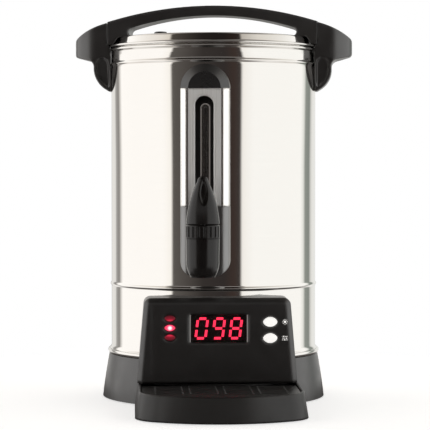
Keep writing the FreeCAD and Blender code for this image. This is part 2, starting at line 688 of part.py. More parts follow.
def gauge_cover():
    """The brushed steel channel over the sight glass, with a lipped slot."""
    body = new_body("gauge_cover", turned=True)
    blank = column_plan("gauge_front", "gauge_half", "gauge_bevel", "bevel_deep", "108.5")
    hollow = column_plan("gauge_front - cover_gauge", "gauge_half - cover_gauge",
                         "gauge_bevel - 0.3", "bevel_deep - 0.3", "100")
    add(body, "XY", [blank], "cover_low_z", "cover_top_z")
    cut(body, "XY", [hollow], "cover_low_z - 1", "cover_top_z + 1")
    lip_half = "slot_half + slot_lip"
    lip = [
        (f"-({lip_half})", "cover_low_z"), (lip_half, "cover_low_z"), (lip_half, "slot_top_z - slot_half"),
        via("0", "slot_top_z + slot_lip"), (f"-({lip_half})", "slot_top_z - slot_half"),
    ]
    add(body, "XZ", [lip], "gauge_front - cover_gauge", "gauge_front + 0.6")
    slot = [
        ("-slot_half", "cover_low_z - 1"), ("slot_half", "cover_low_z - 1"),
        ("slot_half", "slot_top_z - slot_half"), via("0", "slot_top_z"),
        ("-slot_half", "slot_top_z - slot_half"),
    ]
    cut(body, "XZ", [slot], "gauge_front - 4", "gauge_front + 3")


def hug_tank(body, low, high):
    """Cut a column part back so that it stands just off the tank's wall."""
    spin(body, [box_loop("80", low, "tank_r + fit_gap", high)], kind="Groove")


def gauge_top_cap():
    """The domed plastic cap at the top of the column, bevelled round its face."""
    body = new_body("gauge_top_cap", turned=True)
    arch = [("gauge_half", "cover_top_z + touch_gap"), via("0", "cover_top_z + gauge_half"),
            ("-gauge_half", "cover_top_z + touch_gap")]
    add(body, "XZ", [arch], "95", "gauge_front")
    front_arc = lies_at(1, "-gauge_front")
    soften(body, "gauge_bevel", lambda edge: front_arc(edge) and isinstance(edge.Curve, Part.Circle),
           kind="Chamfer")
    inner_r = "gauge_half - gauge_bevel - 1.6"
    hollow = [(inner_r, "cover_top_z - 1"), ("gauge_half - gauge_bevel - 1.6", "cover_top_z + 1"),
              via("0", "cover_top_z + gauge_half - gauge_bevel - 2"),
              ("-gauge_half + gauge_bevel + 1.6", "cover_top_z + 1"), (f"-({inner_r})", "cover_top_z - 1")]
    cut(body, "XZ", [hollow], "90", "gauge_front - 2.4")
    hug_tank(body, "cover_top_z - 2", "cover_top_z + gauge_half + 2")
    spin(body, [box_loop("80", "top_bead_z - bead_half - 4", "tank_r + bead_out + fit_gap",
                         "top_bead_z + bead_half")], kind="Groove")


def gauge_lower_housing():
    """The black housing under the steel cover, which the tap's shank passes through."""
    body = new_body("gauge_lower_housing", turned=True)
    plan = column_plan("gauge_front", "gauge_half", "gauge_bevel", "bevel_deep", "95")
    add(body, "XY", [plan], "gauge_low_z", "cover_low_z - touch_gap")
    turn = 16
    skip = f"{turn} * 0.292893"
    corners = [[
        (f"{side} * 40", "gauge_low_z - 4"), (f"{side} * (gauge_half - {turn})", "gauge_low_z - 4"),
        (f"{side} * (gauge_half - {turn})", "gauge_low_z"),
        via(f"{side} * (gauge_half - {skip})", f"gauge_low_z + {skip}"),
        (f"{side} * gauge_half", f"gauge_low_z + {turn}"), (f"{side} * 40", f"gauge_low_z + {turn}"),
    ] for side in ("1", "-1")]
    cut(body, "XZ", corners, "90", "gauge_front + 2")
    hollow = column_plan("gauge_front - 2.4", "gauge_half - 2.4", "gauge_bevel - 0.8",
                         "bevel_deep - 0.8", "90")
    cut(body, "XY", [hollow], f"gauge_low_z + {turn}", "cover_low_z + 1")
    cut(body, "XZ", [circle_loop("0", "shank_z", "shank_r + fit_gap")], "100", "gauge_front + 2")
    hug_tank(body, "gauge_low_z - 2", "cover_low_z + 2")


def gauge_backplate():
    """The dark plate behind the sight glass, clipped into the steel cover."""
    body = new_body("gauge_backplate", turned=True)
    half = "gauge_half - cover_gauge - fit_gap"
    add(body, "XY", [box_loop(f"-({half})", "-113.4", half, "-111.6")],
        "cover_low_z + 0.6", "cover_top_z - 0.6")


def gauge_tube():
    """The sight glass: a tube with a closed, rounded top."""
    body = new_body("gauge_tube", turned=True, offset=("0", "-tube_reach", "0"))
    bore = "tube_r - 1.2"
    spin(body, [[
        (bore, "tube_low_z"), ("tube_r", "tube_low_z"), ("tube_r", "tube_top_z - 4.2"),
        via("tube_r - 1.23", "tube_top_z - 1.23"), ("tube_r - 4.2", "tube_top_z"), ("0", "tube_top_z"),
        ("0", "tube_top_z - 1.2"), ("tube_r - 4.2", "tube_top_z - 1.2"),
        via("tube_r - 2.08", "tube_top_z - 2.08"), (bore, "tube_top_z - 4.2"),
    ]])


def gauge_saddle():
    """The saddle that steadies the sight glass, hidden between it and the back plate."""
    body = new_body("gauge_saddle", turned=True, offset=("0", "-tube_reach", "0"))
    low = "tube_top_z - 22"
    add(body, "XY", [box_loop("-3.4", "0", "3.4", "tube_reach - 113.4 - touch_gap")], low, f"{low} + 8")
    cut(body, "XY", [circle_loop("0", "0", "tube_r + touch_gap")], f"{low} - 1", f"{low} + 9")


# ---------------------------------------------------------------- tap
# The tap's parts are drawn about the tap's own vertical axis.

TAP_OFFSET = ("0", "-tap_reach", "0")


def tap_body():
    """The barrel with its outlet, its threaded neck and its shank, which also feeds the sight glass."""
    body = new_body("tap_body", turned=True, offset=TAP_OFFSET)
    neck_r = "chamber_r + 2.4"
    spin(body, [[
        ("outlet_r", "tap_low_z"), ("tap_mouth_r - 0.8", "tap_low_z"),
        via("tap_mouth_r - 0.2", "tap_low_z + 0.3"), ("tap_mouth_r", "tap_low_z + 1"),
        via("tap_r - 1.3", "tap_low_z + 8"), ("tap_r - 0.4", "tap_low_z + 18"),
        ("tap_r", "collar_low_z - touch_gap"), (neck_r, "collar_low_z - touch_gap"),
        (neck_r, "collar_top_z - 2.2"), ("chamber_r", "collar_top_z - 2.2"), ("chamber_r", "seat_z"),
        ("outlet_r", "seat_z"),
    ]])
    nipple_y = "tap_reach - tube_reach"
    add(body, "XZ", [circle_loop("0", "shank_z", "shank_r")], "-tap_reach + 100", "-chamber_r - 1")
    add(body, "XY", [circle_loop("0", nipple_y, "tube_r + 2.6")], "shank_z", "shank_z + 12")
    cut(body, "XZ", [circle_loop("0", "shank_z", "shank_bore_r")], "-tap_reach + 99", "-chamber_r + 1")
    cut(body, "XY", [circle_loop("0", nipple_y, "tube_r + touch_gap")], "tube_low_z", "shank_z + 13")
    cut(body, "XY", [circle_loop("0", nipple_y, "tube_r - 1.4")], "shank_z", "tube_low_z + 1")


def tap_collar():
    """The ribbed bonnet that screws onto the tap's neck."""
    body = new_body("tap_collar", turned=True, offset=TAP_OFFSET)
    inner = "chamber_r + 2.4 + touch_gap"
    top_low = "collar_top_z - 2"
    spin(body, [[
        (inner, "collar_low_z"), ("tap_r - 0.6", "collar_low_z"), ("tap_r", "collar_low_z + 0.6"),
        ("tap_r", "collar_top_z - 0.8"), ("tap_r - 0.8", "collar_top_z"),
        ("stem_r + fit_gap", "collar_top_z"), ("stem_r + fit_gap", top_low), (inner, top_low),
    ]])
    groove = cut(body, "XY", [circle_loop("tap_r + 0.5", "0", "1.7")], "collar_low_z + 1.6",
                 "collar_top_z - 1.6")
    repeat(body, [groove], "collar_ribs")


def tap_lever():
    """The pointed lever, hollow, with a thumb hollow in front; it rocks on its front lower edge."""
    body = new_body("tap_lever", turned=True, offset=TAP_OFFSET)
    low = "collar_top_z + fit_gap"
    spin(body, [[
        ("0", low), ("tap_r - 0.6", low), ("tap_r", f"{low} + 0.8"),
        via("tap_r - 3", "lever_tip_z - 28"), ("5.6", "lever_tip_z - 4.8"),
        via("4.19", "lever_tip_z - 1.41"), ("0.8", "lever_tip_z"), ("0", "lever_tip_z"),
    ]])
    spin(body, [[
        ("0", f"{low} - 1"), ("tap_r - 2.6", f"{low} - 1"), ("tap_r - 2.6", f"{low} + 3"),
        ("tap_r - 6", "lever_tip_z - 26"), ("0", "lever_tip_z - 20"),
    ]], kind="Groove")
    slots = [oval_loop("2", "lever_pin_z", "4.4", "1.9")]
    cut(body, "YZ", slots, "-tap_r + 1.6", "tap_r - 1.6")


def tap_lever_pin():
    """The cross pin that joins the stem to the lever."""
    body = new_body("tap_lever_pin", turned=True, offset=TAP_OFFSET)
    add(body, "YZ", [circle_loop("0", "lever_pin_z", "1.4")], "-15", "15")


def tap_stem():
    """The steel stem from the seat cup to the lever."""
    body = new_body("tap_stem", turned=True, offset=TAP_OFFSET)
    spin(body, [[
        ("0", "seat_z + 4"), ("4", "seat_z + 4"), ("4", "seat_z + 6"), ("stem_r", "seat_z + 6"),
        ("stem_r", "lever_pin_z + 4"), ("stem_r - 0.6", "lever_pin_z + 4.6"),
        ("0", "lever_pin_z + 4.6"),
    ]])
    cut(body, "YZ", [circle_loop("0", "lever_pin_z", "1.4 + touch_gap")], "-6", "6")


def tap_seat_cup():
    """The silicone cup that closes the seat."""
    body = new_body("tap_seat_cup", turned=True, offset=TAP_OFFSET)
    spin(body, [[
        ("0", "seat_z - 1.5"), ("outlet_r - 2", "seat_z - 1.5"), ("outlet_r - 0.6", "seat_z + touch_gap"),
        ("chamber_r - 1.4", "seat_z + touch_gap"), ("chamber_r - 1.4", "seat_z + 2"),
        ("chamber_r - 4", "seat_z + 8"), ("stem_r + touch_gap", "seat_z + 12"),
        ("stem_r + touch_gap", "seat_z + 6 + touch_gap"), ("4 + touch_gap", "seat_z + 6 + touch_gap"),
        ("4 + touch_gap", "seat_z + 4 - touch_gap"), ("0", "seat_z + 4 - touch_gap"),
    ]])


def tap_seals():
    """Two silicone washers on the shank, one each side of the tank's wall."""
    body = new_body("tap_seals", turned=True, several=True)
    rings = [circle_loop("0", "shank_z", "11.4"), circle_loop("0", "shank_z", "shank_r + touch_gap")]
    add(body, "XZ", rings, "tank_r - tank_gauge - 4", "tank_r + 2.6")
    spin(body, [box_loop("tank_r - tank_gauge - 2 * touch_gap", "shank_z - 20",
                         "tank_r + 2 * touch_gap", "shank_z + 20")], kind="Groove")


def tap_nut():
    """The hexagon nut that clamps the shank from inside the tank."""
    body = new_body("tap_nut", turned=True)
    points = [(f"14 * cos({60 * step})", f"shank_z + 14 * sin({60 * step})") for step in range(6)]
    add(body, "XZ", [points, circle_loop("0", "shank_z", "shank_r + touch_gap")],
        "tank_r - 10.4", "tank_r - tank_gauge - 4 - touch_gap")


# ---------------------------------------------------------------- base

BOSS_XY = ("boss_ring_r * 0.7071", "boss_ring_r * 0.7071")


def base_ring():
    """The flared ring that the tank stands on, with screw bosses and a flat seat for the inlet."""
    body = new_body("base_ring")
    spin(body, [[
        ("base_low_r", "base_low_z"), via("base_low_r - 2.6", "base_low_z + 20"),
        ("base_top_r", "base_top_z - 1"), ("base_top_r - 1", "base_top_z"), ("88", "base_top_z"),
        ("88", "base_top_z - 2.8"), ("base_top_r - base_wall - 0.2", "base_top_z - 2.8"),
        via("base_low_r - base_wall - 2.6", "base_low_z + 20"), ("base_low_r - base_wall", "base_low_z"),
    ]])
    boss = add(body, "XY", [circle_loop(*BOSS_XY, "4.8")], "plate_top_z + touch_gap", "base_top_z - 2")
    pilot = cut(body, "XY", [circle_loop(*BOSS_XY, "screw_r")], "plate_top_z - 1", "plate_top_z + 16")
    repeat(body, [boss, pilot], "4")
    add(body, "XZ", [round_box_loop("-30", "inlet_z - 15", "30", "inlet_z + 15", "4")],
        "-inlet_seat", "-inlet_seat + 9")
    cut(body, "XZ", [round_box_loop("-14.2", "inlet_z - 10.6", "14.2", "inlet_z + 10.6", "3")],
        "-inlet_seat - 2", "-90")
    cut(body, "XZ", [circle_loop("-20", "inlet_z", "screw_r"), circle_loop("20", "inlet_z", "screw_r")],
        "-inlet_seat - 2", "-inlet_seat + 12")
    cut(body, "XZ", [round_box_loop("-32", "14", "32", "40", "5")], "80", "base_low_r + 2")


def base_plate():
    """The bottom cover, with vents and four posts for the power board."""
    body = new_body("base_plate")
    add(body, "XY", [circle_loop("0", "0", "base_low_r - base_wall - 1.6")], "plate_low_z", "plate_top_z")
    posts = [circle_loop(f"{sx} * 34", f"{y}", "3") for sx in ("1", "-1") for y in ("2", "58")]
    add(body, "XY", posts, "plate_top_z - 1", "plate_top_z + 8")
    hole = cut(body, "XY", [circle_loop(*BOSS_XY, "screw_r + fit_gap")], "plate_low_z - 1",
               "plate_top_z + 1")
    vents = [oval_loop("0", f"-30 - 9 * {step}", "22", "2") for step in range(4)]
    cut(body, "XY", vents, "plate_low_z - 1", "plate_top_z + 1")
    repeat(body, [hole], "4")


def rubber_feet():
    """Four rubber feet, each with a recess for its screw."""
    body = new_body("rubber_feet", several=True)
    foot = add(body, "XY", [circle_loop(*BOSS_XY, "foot_r")], "0", "plate_low_z - touch_gap")
    recess = cut(body, "XY", [circle_loop(*BOSS_XY, "4.4")], "-1", "2.2")
    hole = cut(body, "XY", [circle_loop(*BOSS_XY, "screw_r + fit_gap")], "-1", "plate_low_z + 1")
    repeat(body, [foot, recess, hole], "4")


def base_screws():
    """Four screws up through the feet and the base plate into the bosses."""
    body = new_body("base_screws", several=True)
    head = add(body, "XY", [circle_loop(*BOSS_XY, "3.6")], "0.5", "2.2 - touch_gap")
    cross = cut(body, "XY", [[
        (f"{BOSS_XY[0]} - 2", f"{BOSS_XY[1]} - 0.5"), (f"{BOSS_XY[0]} + 2", f"{BOSS_XY[1]} - 0.5"),
        (f"{BOSS_XY[0]} + 2", f"{BOSS_XY[1]} + 0.5"), (f"{BOSS_XY[0]} - 2", f"{BOSS_XY[1]} + 0.5"),
    ]], "0", "1.2")
    shank = add(body, "XY", [circle_loop(*BOSS_XY, "screw_r - touch_gap")], "2.1", "18")
    repeat(body, [head, cross, shank], "4")


# ---------------------------------------------------------------- control panel

BUTTON_LEVELS = {"light_button": "button_z + button_pitch / 2", "set_button": "button_z - button_pitch / 2"}
LAMP_LEVELS = {"led_lens_top": "led_z + led_pitch", "led_lens_middle": "led_z",
               "led_lens_bottom": "led_z - led_pitch"}


def control_housing():
    """The panel's housing: a bevelled box, open at its back, that hugs the tank and the base."""
    body = new_body("control_housing")
    turn = "7"
    skip = f"{turn} * 0.292893"
    left, right = "-panel_shift - panel_top_half", "-panel_shift + panel_top_half"
    face = [
        ("-panel_shift - panel_low_half", "panel_low_z"), ("-panel_shift + panel_low_half", "panel_low_z"),
        (f"{right} + 0.6", f"panel_top_z - {turn}"),
        via(f"{right} + 0.3 - {skip}", f"panel_top_z - {skip}"),
        (f"{right} - {turn}", "panel_top_z"), (f"{left} + {turn}", "panel_top_z"),
        via(f"{left} - 0.3 + {skip}", f"panel_top_z - {skip}"),
        (f"{left} - 0.6", f"panel_top_z - {turn}"),
    ]
    add(body, "XZ", [face], "70", "panel_front")
    front_edge = lies_at(1, "-panel_front")
    foot_edge = lies_at(2, "panel_low_z")
    soften(body, "panel_bevel", lambda edge: front_edge(edge) and not foot_edge(edge), kind="Chamfer")
    inner = "panel_front - panel_wall"
    cavity = [
        ("-60", "panel_low_z + panel_wall"), (f"-({inner})", "panel_low_z + panel_wall"),
        (f"-({inner})", "panel_top_z - panel_bevel - 1.4"),
        (f"-({inner}) + panel_bevel", "panel_top_z - panel_wall"), ("-60", "panel_top_z - panel_wall"),
    ]
    cut(body, "YZ", [cavity], f"{left} + panel_wall + panel_bevel", f"{right} - panel_wall - panel_bevel")
    spin(body, [[
        ("60", "panel_low_z - 1"), ("base_low_r", "panel_low_z - 1"), ("base_top_r + 1.9", "base_top_z - 2"),
        ("base_top_r + 1.9", "skirt_z + 3.4"), ("tank_r + fit_gap", "skirt_z + 6"),
        ("tank_r + fit_gap", "panel_top_z + 2"), ("60", "panel_top_z + 2"),
    ]], kind="Groove")
    window = box_loop("-window_half", "window_z - window_tall / 2", "window_half",
                      "window_z + window_tall / 2")
    cut(body, "XZ", [window], "panel_front - 6", "panel_front + 1")
    lamps = [eye_loop("led_x", level, "lamp_half + fit_gap", "lamp_high + fit_gap")
             for level in LAMP_LEVELS.values()]
    keys = [eye_loop("button_x", level, "button_half + fit_gap", "button_high + fit_gap")
            for level in BUTTON_LEVELS.values()]
    cut(body, "XZ", lamps + keys, "panel_front - 6", "panel_front + 1")


def display_window():
    """The dark window over the display."""
    body = new_body("display_window")
    gap = "touch_gap"
    pane = box_loop(f"-window_half + {gap}", f"window_z - window_tall / 2 + {gap}",
                    f"window_half - {gap}", f"window_z + window_tall / 2 - {gap}")
    add(body, "XZ", [pane], "panel_front - 1.8", "panel_front - 0.3")


def display_module():
    """The display's block on the control board."""
    body = new_body("display_module")
    block = box_loop("-window_half + 1", "window_z - window_tall / 2 + 1", "window_half - 1",
                     "window_z + window_tall / 2 - 1")
    add(body, "XZ", [block], "board_front", "panel_front - 2.9")


# The bars of a seven-segment digit: each as the corner where it starts and the way it runs, on a
# lattice two cells wide and four cells tall.
SEGMENTS = {
    "top": (0, 4, "flat"), "middle": (0, 2, "flat"), "bottom": (0, 0, "flat"),
    "upper_left": (0, 2, "tall"), "upper_right": (2, 2, "tall"),
    "lower_left": (0, 0, "tall"), "lower_right": (2, 0, "tall"),
}
UNLIT = {"0": {"middle"}, "9": {"lower_left"}, "8": set()}
READOUT = "098"


def segment_loop(centre, kind):
    """One slanted bar of the digit whose middle is at centre."""
    column, row, way = SEGMENTS[kind]
    gap, thick, slant = 1.5, 1.25, 0.12
    if way == "flat":
        ends = ((column, row, gap, -thick), (column + 2, row, -gap, -thick),
                (column + 2, row, -gap, thick), (column, row, gap, thick))
    else:
        ends = ((column, row, -thick, gap), (column, row, thick, gap),
                (column, row + 2, thick, -gap), (column, row + 2, -thick, -gap))
    corners = []
    for x, z, dx, dz in ends:
        rise = f"(({z} - 2) * digit_tall / 4 + {dz})"
        corners.append((f"{centre} + ({x} - 1) * digit_tall / 4 + {dx} + {rise} * {slant}",
                        f"window_z + {rise}"))
    return corners


def display_digits():
    """The lit bars of the read-out, between the display's block and the window."""
    body = new_body("display_digits", several=True)
    for place, figure in enumerate(READOUT):
        centre = f"{place - 1} * 17.4"
        lit = [kind for kind in SEGMENTS if kind not in UNLIT[figure]]
        add(body, "XZ", [segment_loop(centre, kind) for kind in lit],
            "panel_front - 2.8", "panel_front - 2.3")


def led_lens(name, level):
    """One indicator lamp: an oval lens on a light pipe that reaches back to the board."""
    body = new_body(name)
    add(body, "XZ", [eye_loop("led_x", level, "lamp_half", "lamp_high")], "board_front + 1",
        "panel_front + 0.9")
    soften(body, "0.7", lies_at(1, "-panel_front - 0.9"))


def push_button(name, level):
    """One oval key, kept in by a flange behind the panel."""
    body = new_body(name)
    add(body, "XZ", [eye_loop("button_x", level, "button_half", "button_high")],
        "panel_front - 4", "panel_front + 1.5")
    soften(body, "0.9", lies_at(1, "-panel_front - 1.5"))
    flange_front = "panel_front - panel_wall - touch_gap"
    add(body, "XZ", [eye_loop("button_x", level, "button_half + 1.6", "button_high + 1.6")],
        "panel_front - 4", flange_front)
    add(body, "XZ", [circle_loop("button_x", level, "1.8")], "board_front + 4.7", "panel_front - 3.9")


def button_switches():
    """Two tact switches behind the keys."""
    body = new_body("button_switches", several=True)
    blocks = [box_loop("button_x - 3", f"{level} - 3", "button_x + 3", f"{level} + 3")
              for level in BUTTON_LEVELS.values()]
    domes = [circle_loop("button_x", level, "1.6") for level in BUTTON_LEVELS.values()]
    add(body, "XZ", blocks, "board_front", "board_front + 3")
    add(body, "XZ", domes, "board_front + 2.9", "board_front + 3.7")


BOARD_SCREWS = [(f"{sx} * 61", z) for sx in ("1", "-1") for z in ("64.6", "101")]


def control_board():
    """The circuit board behind the panel."""
    body = new_body("control_board")
    outline = round_box_loop("-64", "62", "64", "104", "2")
    holes = [circle_loop(x, z, "1.6") for x, z in BOARD_SCREWS]
    add(body, "XZ", [outline] + holes, "board_front - board_thick", "board_front - touch_gap")


def control_board_screws():
    """Four screws and their spacers between the board and the panel."""
    body = new_body("control_board_screws", several=True)
    heads = [circle_loop(x, z, "2.8") for x, z in BOARD_SCREWS]
    shanks = [circle_loop(x, z, "1.4") for x, z in BOARD_SCREWS]
    spacers = [circle_loop(x, z, "2.8") for x, z in BOARD_SCREWS]
    back = "board_front - board_thick - touch_gap"
    add(body, "XZ", heads, f"{back} - 1.6", back)
    add(body, "XZ", shanks, back, "board_front + 2")
    add(body, "XZ", spacers, "board_front", "panel_front - panel_wall - touch_gap")


# ---------------------------------------------------------------- power side

def power_board():
    """The power board on the base plate's posts."""
    body = new_body("power_board")
    level = "plate_top_z + 8 + touch_gap"
    add(body, "XY", [round_box_loop("-38", "-2", "38", "62", "2")], level, f"{level} + board_thick")


BOARD_TOP = "plate_top_z + 8 + board_thick + 2 * touch_gap"


def power_relay():
    """The heater's relay."""
    body = new_body("power_relay")
    add(body, "XY", [round_box_loop("-32", "6", "-13", "22", "1")], BOARD_TOP, f"{BOARD_TOP} + 16")


def power_transformer():
    """The small transformer that feeds the control board."""
    body = new_body("power_transformer")
    add(body, "XY", [box_loop("2", "8", "34", "34")], BOARD_TOP, f"{BOARD_TOP} + 17")
    add(body, "XY", [box_loop("7", "4", "29", "38")], f"{BOARD_TOP} + 3", f"{BOARD_TOP} + 14")


def mains_inlet():
    """The three-pin appliance inlet, with its recess for a removable cord."""
    body = new_body("mains_inlet")
    add(body, "XZ", [round_box_loop("-25", "inlet_z - 11.5", "25", "inlet_z + 11.5", "4")],
        "-inlet_back", "-inlet_seat - touch_gap")
    add(body, "XZ", [round_box_loop("-13.8", "inlet_z - 10", "13.8", "inlet_z + 10", "2.6")],
        "-inlet_seat - 0.1", "-inlet_seat + 17")
    cut(body, "XZ", [round_box_loop("-12", "inlet_z - 8.2", "12", "inlet_z + 8.2", "2")],
        "-inlet_back - 1", "-inlet_back + 17")
    for radius, deep in (("screw_r + fit_gap", "4"), ("3.5", "1.7")):
        holes = [circle_loop(x, "inlet_z", radius) for x in INLET_SCREW_X]
        cut(body, "XZ", holes, "-inlet_back - 1", f"-inlet_back + {deep}")


INLET_SCREW_X = ("-20", "20")
INLET_PINS = (("-7", "inlet_z - 2"), ("0", "inlet_z + 2"), ("7", "inlet_z - 2"))


def inlet_pins():
    """Live, earth and neutral pins, with their solder tails."""
    body = new_body("inlet_pins", several=True)
    blades = [box_loop(f"{x} - 1", f"{z} - 2", f"{x} + 1", f"{z} + 2") for x, z in INLET_PINS]
    tails = [box_loop(f"{x} - 0.4", f"{z} - 1.6", f"{x} + 0.4", f"{z} + 1.6") for x, z in INLET_PINS]
    add(body, "XZ", blades, "-inlet_back + 4", "-inlet_back + 17 - touch_gap")
    add(body, "XZ", tails, "-inlet_seat + 17 + touch_gap", "-inlet_seat + 24")


def inlet_screws():
    """The two screws beside the inlet."""
    body = new_body("inlet_screws", several=True)
    heads = [circle_loop(x, "inlet_z", "3.2") for x in INLET_SCREW_X]
    shanks = [circle_loop(x, "inlet_z", "screw_r - touch_gap") for x in INLET_SCREW_X]
    head_base = "-inlet_back + 1.7 - touch_gap"
    add(body, "XZ", heads, "-inlet_back + 0.1", head_base)
    add(body, "XZ", shanks, head_base, "-inlet_seat + 9")


def rounded_path(points, share=0.45):
    """A wire of straight runs joined by tangent arcs, as large as the runs allow."""
    edges = []
    start = points[0]
    for before, corner, after in zip(points, points[1:], points[2:]):
        back = (before - corner)
        ahead = (after - corner)
        trim = share * min(back.Length, ahead.Length)
        back.normalize()
        ahead.normalize()
        entry = corner + back * trim
        leave = corner + ahead * trim
        half = back.getAngle(ahead) / 2
        radius = trim * math.tan(half)
        centre = corner + (back + ahead).normalize() * (radius / math.sin(half))
        middle = centre + (corner - centre).normalize() * radius
        edges.append(Part.LineSegment(start, entry).toShape())
        edges.append(Part.Arc(entry, middle, leave).toShape())
        start = leave
    edges.append(Part.LineSegment(start, points[-1]).toShape())
    return Part.Wire(edges)


def insulated_wire(points, radius):
    """A round wire along a rounded path."""
    corners = [Vector(*[value(number) for number in point]) for point in points]
    path = rounded_path(corners)
    along = corners[1] - corners[0]
    ring = Part.Wire([Part.Circle(corners[0], along, radius).toShape()])
    return path.makePipeShell([ring], True, True)


TAIL_Y = "inlet_seat - 24.1"
WIRE_R = 1.3


def leads():
    """The mains leads from the inlet, the heater's leads and the panel's lead."""
    live = [("-7", TAIL_Y, "inlet_z - 2"), ("-7", "82", "inlet_z - 2"), ("-16", "70", "inlet_z + 6"),
            ("-22", "46", "inlet_z + 6"), ("-22", "46", BOARD_TOP)]
    neutral = [("7", TAIL_Y, "inlet_z - 2"), ("7", "82", "inlet_z - 2"), ("0", "68", "inlet_z + 2"),
               ("-6", "50", "inlet_z + 2"), ("-6", "50", BOARD_TOP)]
    earth = [("0", TAIL_Y, "inlet_z + 2"), ("0", "84", "inlet_z + 2"), ("18", "76", "60"),
             ("37", "64", "96"), ("37", "64", "floor_z - 6.1")]
    set_shape("lead_live", insulated_wire(live, WIRE_R))
    set_shape("lead_neutral", insulated_wire(neutral, WIRE_R))
    set_shape("lead_earth", insulated_wire(earth, WIRE_R))
    first = [("62", "0", "floor_z - 30.1"), ("62", "0", "78"), ("44", "10", "56"), ("-10", "28", "48"),
             ("-10", "28", BOARD_TOP)]
    second = [("62 * cos(330)", "62 * sin(330)", "floor_z - 30.1"),
              ("62 * cos(330)", "62 * sin(330)", "74"), ("34", "-16", "50"), ("-26", "4", "46"),
              ("-34", "34", "42"), ("-34", "34", BOARD_TOP)]
    heater = Part.makeCompound([insulated_wire(first, WIRE_R), insulated_wire(second, WIRE_R)])
    set_shape("heater_leads", heater)
    panel = [("6", "-112.6", "84"), ("6", "-100", "84"), ("4", "-84", "70"), ("0", "-50", "40"),
             ("-2", "2", "34"), ("-2", "2", BOARD_TOP)]
    set_shape("panel_lead", insulated_wire(panel, 1.8))


# ---------------------------------------------------------------- drip tray

def tray_front(shrink):
    """The tray's sides and bowed front from above, from the left side round to the right."""
    half = f"(tray_half_top - ({shrink}))"
    front = f"(tray_reach - tray_flare - ({shrink}))"
    return half, [
        (f"-{half}", f"-({front} - 48)"), via(f"-({half} - 5.6)", f"-({front} - 31)"),
        (f"-({half} - 20)", f"-({front} - 18)"), via("0", f"-{front}"),
        (f"{half} - 20", f"-({front} - 18)"), via(f"{half} - 5.6", f"-({front} - 31)"),
        (half, f"-({front} - 48)"),
    ]


def tray_plan(shrink, back_r):
    """The tray from above, with a hollow of radius back_r round the base."""
    half, front = tray_front(shrink)
    back_y = f"sqrt(({back_r}) * ({back_r}) - {half} * {half})"
    return [(half, f"-{back_y}"), via("0", f"-({back_r})"), (f"-{half}", f"-{back_y}")] + front


def drip_tray():
    """The removable tray: walls that flare to the foot, a ledge and a cross wall for the grille."""
    body = new_body("drip_tray")
    before = solid_volume(body)
    loft = body.newObject("PartDesign::AdditiveLoft", "drip_tray_loft")
    loft.Profile = new_sketch(body, "XY", [tray_plan("-tray_flare", "tray_inner_r")], "tray_low_z")
    loft.Sections = [new_sketch(body, "XY", [tray_plan("0", "tray_inner_r")], "tray_rim_z")]
    loft.Ruled = True
    doc.recompute()
    check_change(body, before, True)
    spin(body, [box_loop("60", "tray_low_z - 1", "tray_inner_r", "tray_rim_z + 1")], kind="Groove")
    ledge = "grille_top_z - grille_thick - touch_gap"
    cut(body, "XY", [tray_plan("tray_wall", "tray_inner_r + tray_wall")], ledge, "tray_rim_z + 1")
    cut(body, "XY", [tray_plan("tray_wall + 2", "tray_inner_r + tray_wall + 2")],
        "tray_low_z + 2.4", "tray_rim_z + 1")
    wall = box_loop("-tray_half_top + tray_wall", "-grille_back - 2", "tray_half_top - tray_wall",
                    "-grille_back + 1.2")
    add(body, "XY", [wall], "tray_low_z + 1", ledge)


def drip_grille():
    """The slotted grille that lies in the tray, in front of the panel."""
    body = new_body("drip_grille")
    low = "grille_top_z - grille_thick"
    half, front = tray_front("tray_wall + 0.4")
    add(body, "XY", [[(half, "-grille_back"), (f"-{half}", "-grille_back")] + front], low, "grille_top_z")
    row_y = "-grille_back - 9"
    row = cut(body, "XY", [oval_loop(x, row_y, "14.5", "2.6") for x in ("-52", "-17.4", "17.4", "52")],
              f"{low} - 1", "grille_top_z + 1")
    repeat_forwards(body, row, "55", "6")


BUILDERS = [
    tank_wall, tank_floor, trim_ring, heater_plate, heating_element, thermostat, thermal_cutout,
    lid_shell, lid_gasket, lid_vent, lid_handle, lid_handle_screws, side_handle_screws, handle_backing_plates,
    gauge_cover, gauge_top_cap, gauge_lower_housing, gauge_backplate, gauge_tube, gauge_saddle,
    tap_body, tap_collar, tap_lever, tap_lever_pin, tap_stem, tap_seat_cup, tap_seals, tap_nut,
    base_ring, base_plate, rubber_feet, base_screws, control_housing, display_window, display_module,
    display_digits, button_switches, control_board, control_board_screws, power_board, power_relay,
    power_transformer, mains_inlet, inlet_pins, inlet_screws, leads, drip_tray, drip_grille,
]
for build in BUILDERS:
    build()
side_handle("side_handle_right", flip=False)
side_handle("side_handle_left", flip=True)
for name, level in LAMP_LEVELS.items():
    led_lens(name, level)
for name, level in BUTTON_LEVELS.items():
    push_button(name, level)

doc.recompute()
for item in doc.Objects:
    if {"Invalid", "Error"} & set(item.State):
        raise RuntimeError(f"{item.Label} failed: {item.State}")
for item in sub_parts:
    if item.Shape.isNull() or not item.Shape.isValid():
        raise RuntimeError(f"{item.Label} has no valid shape")
os.makedirs("parts", exist_ok=True)
for item in sub_parts:
    item.Shape.exportStep(f"parts/{item.Label}.step")
print(len(sub_parts), "sub-parts written")
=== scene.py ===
"""Looks of the hot water urn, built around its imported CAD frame."""
import math

import bmesh
import bpy
import numpy as np
from mathutils import Matrix, Vector


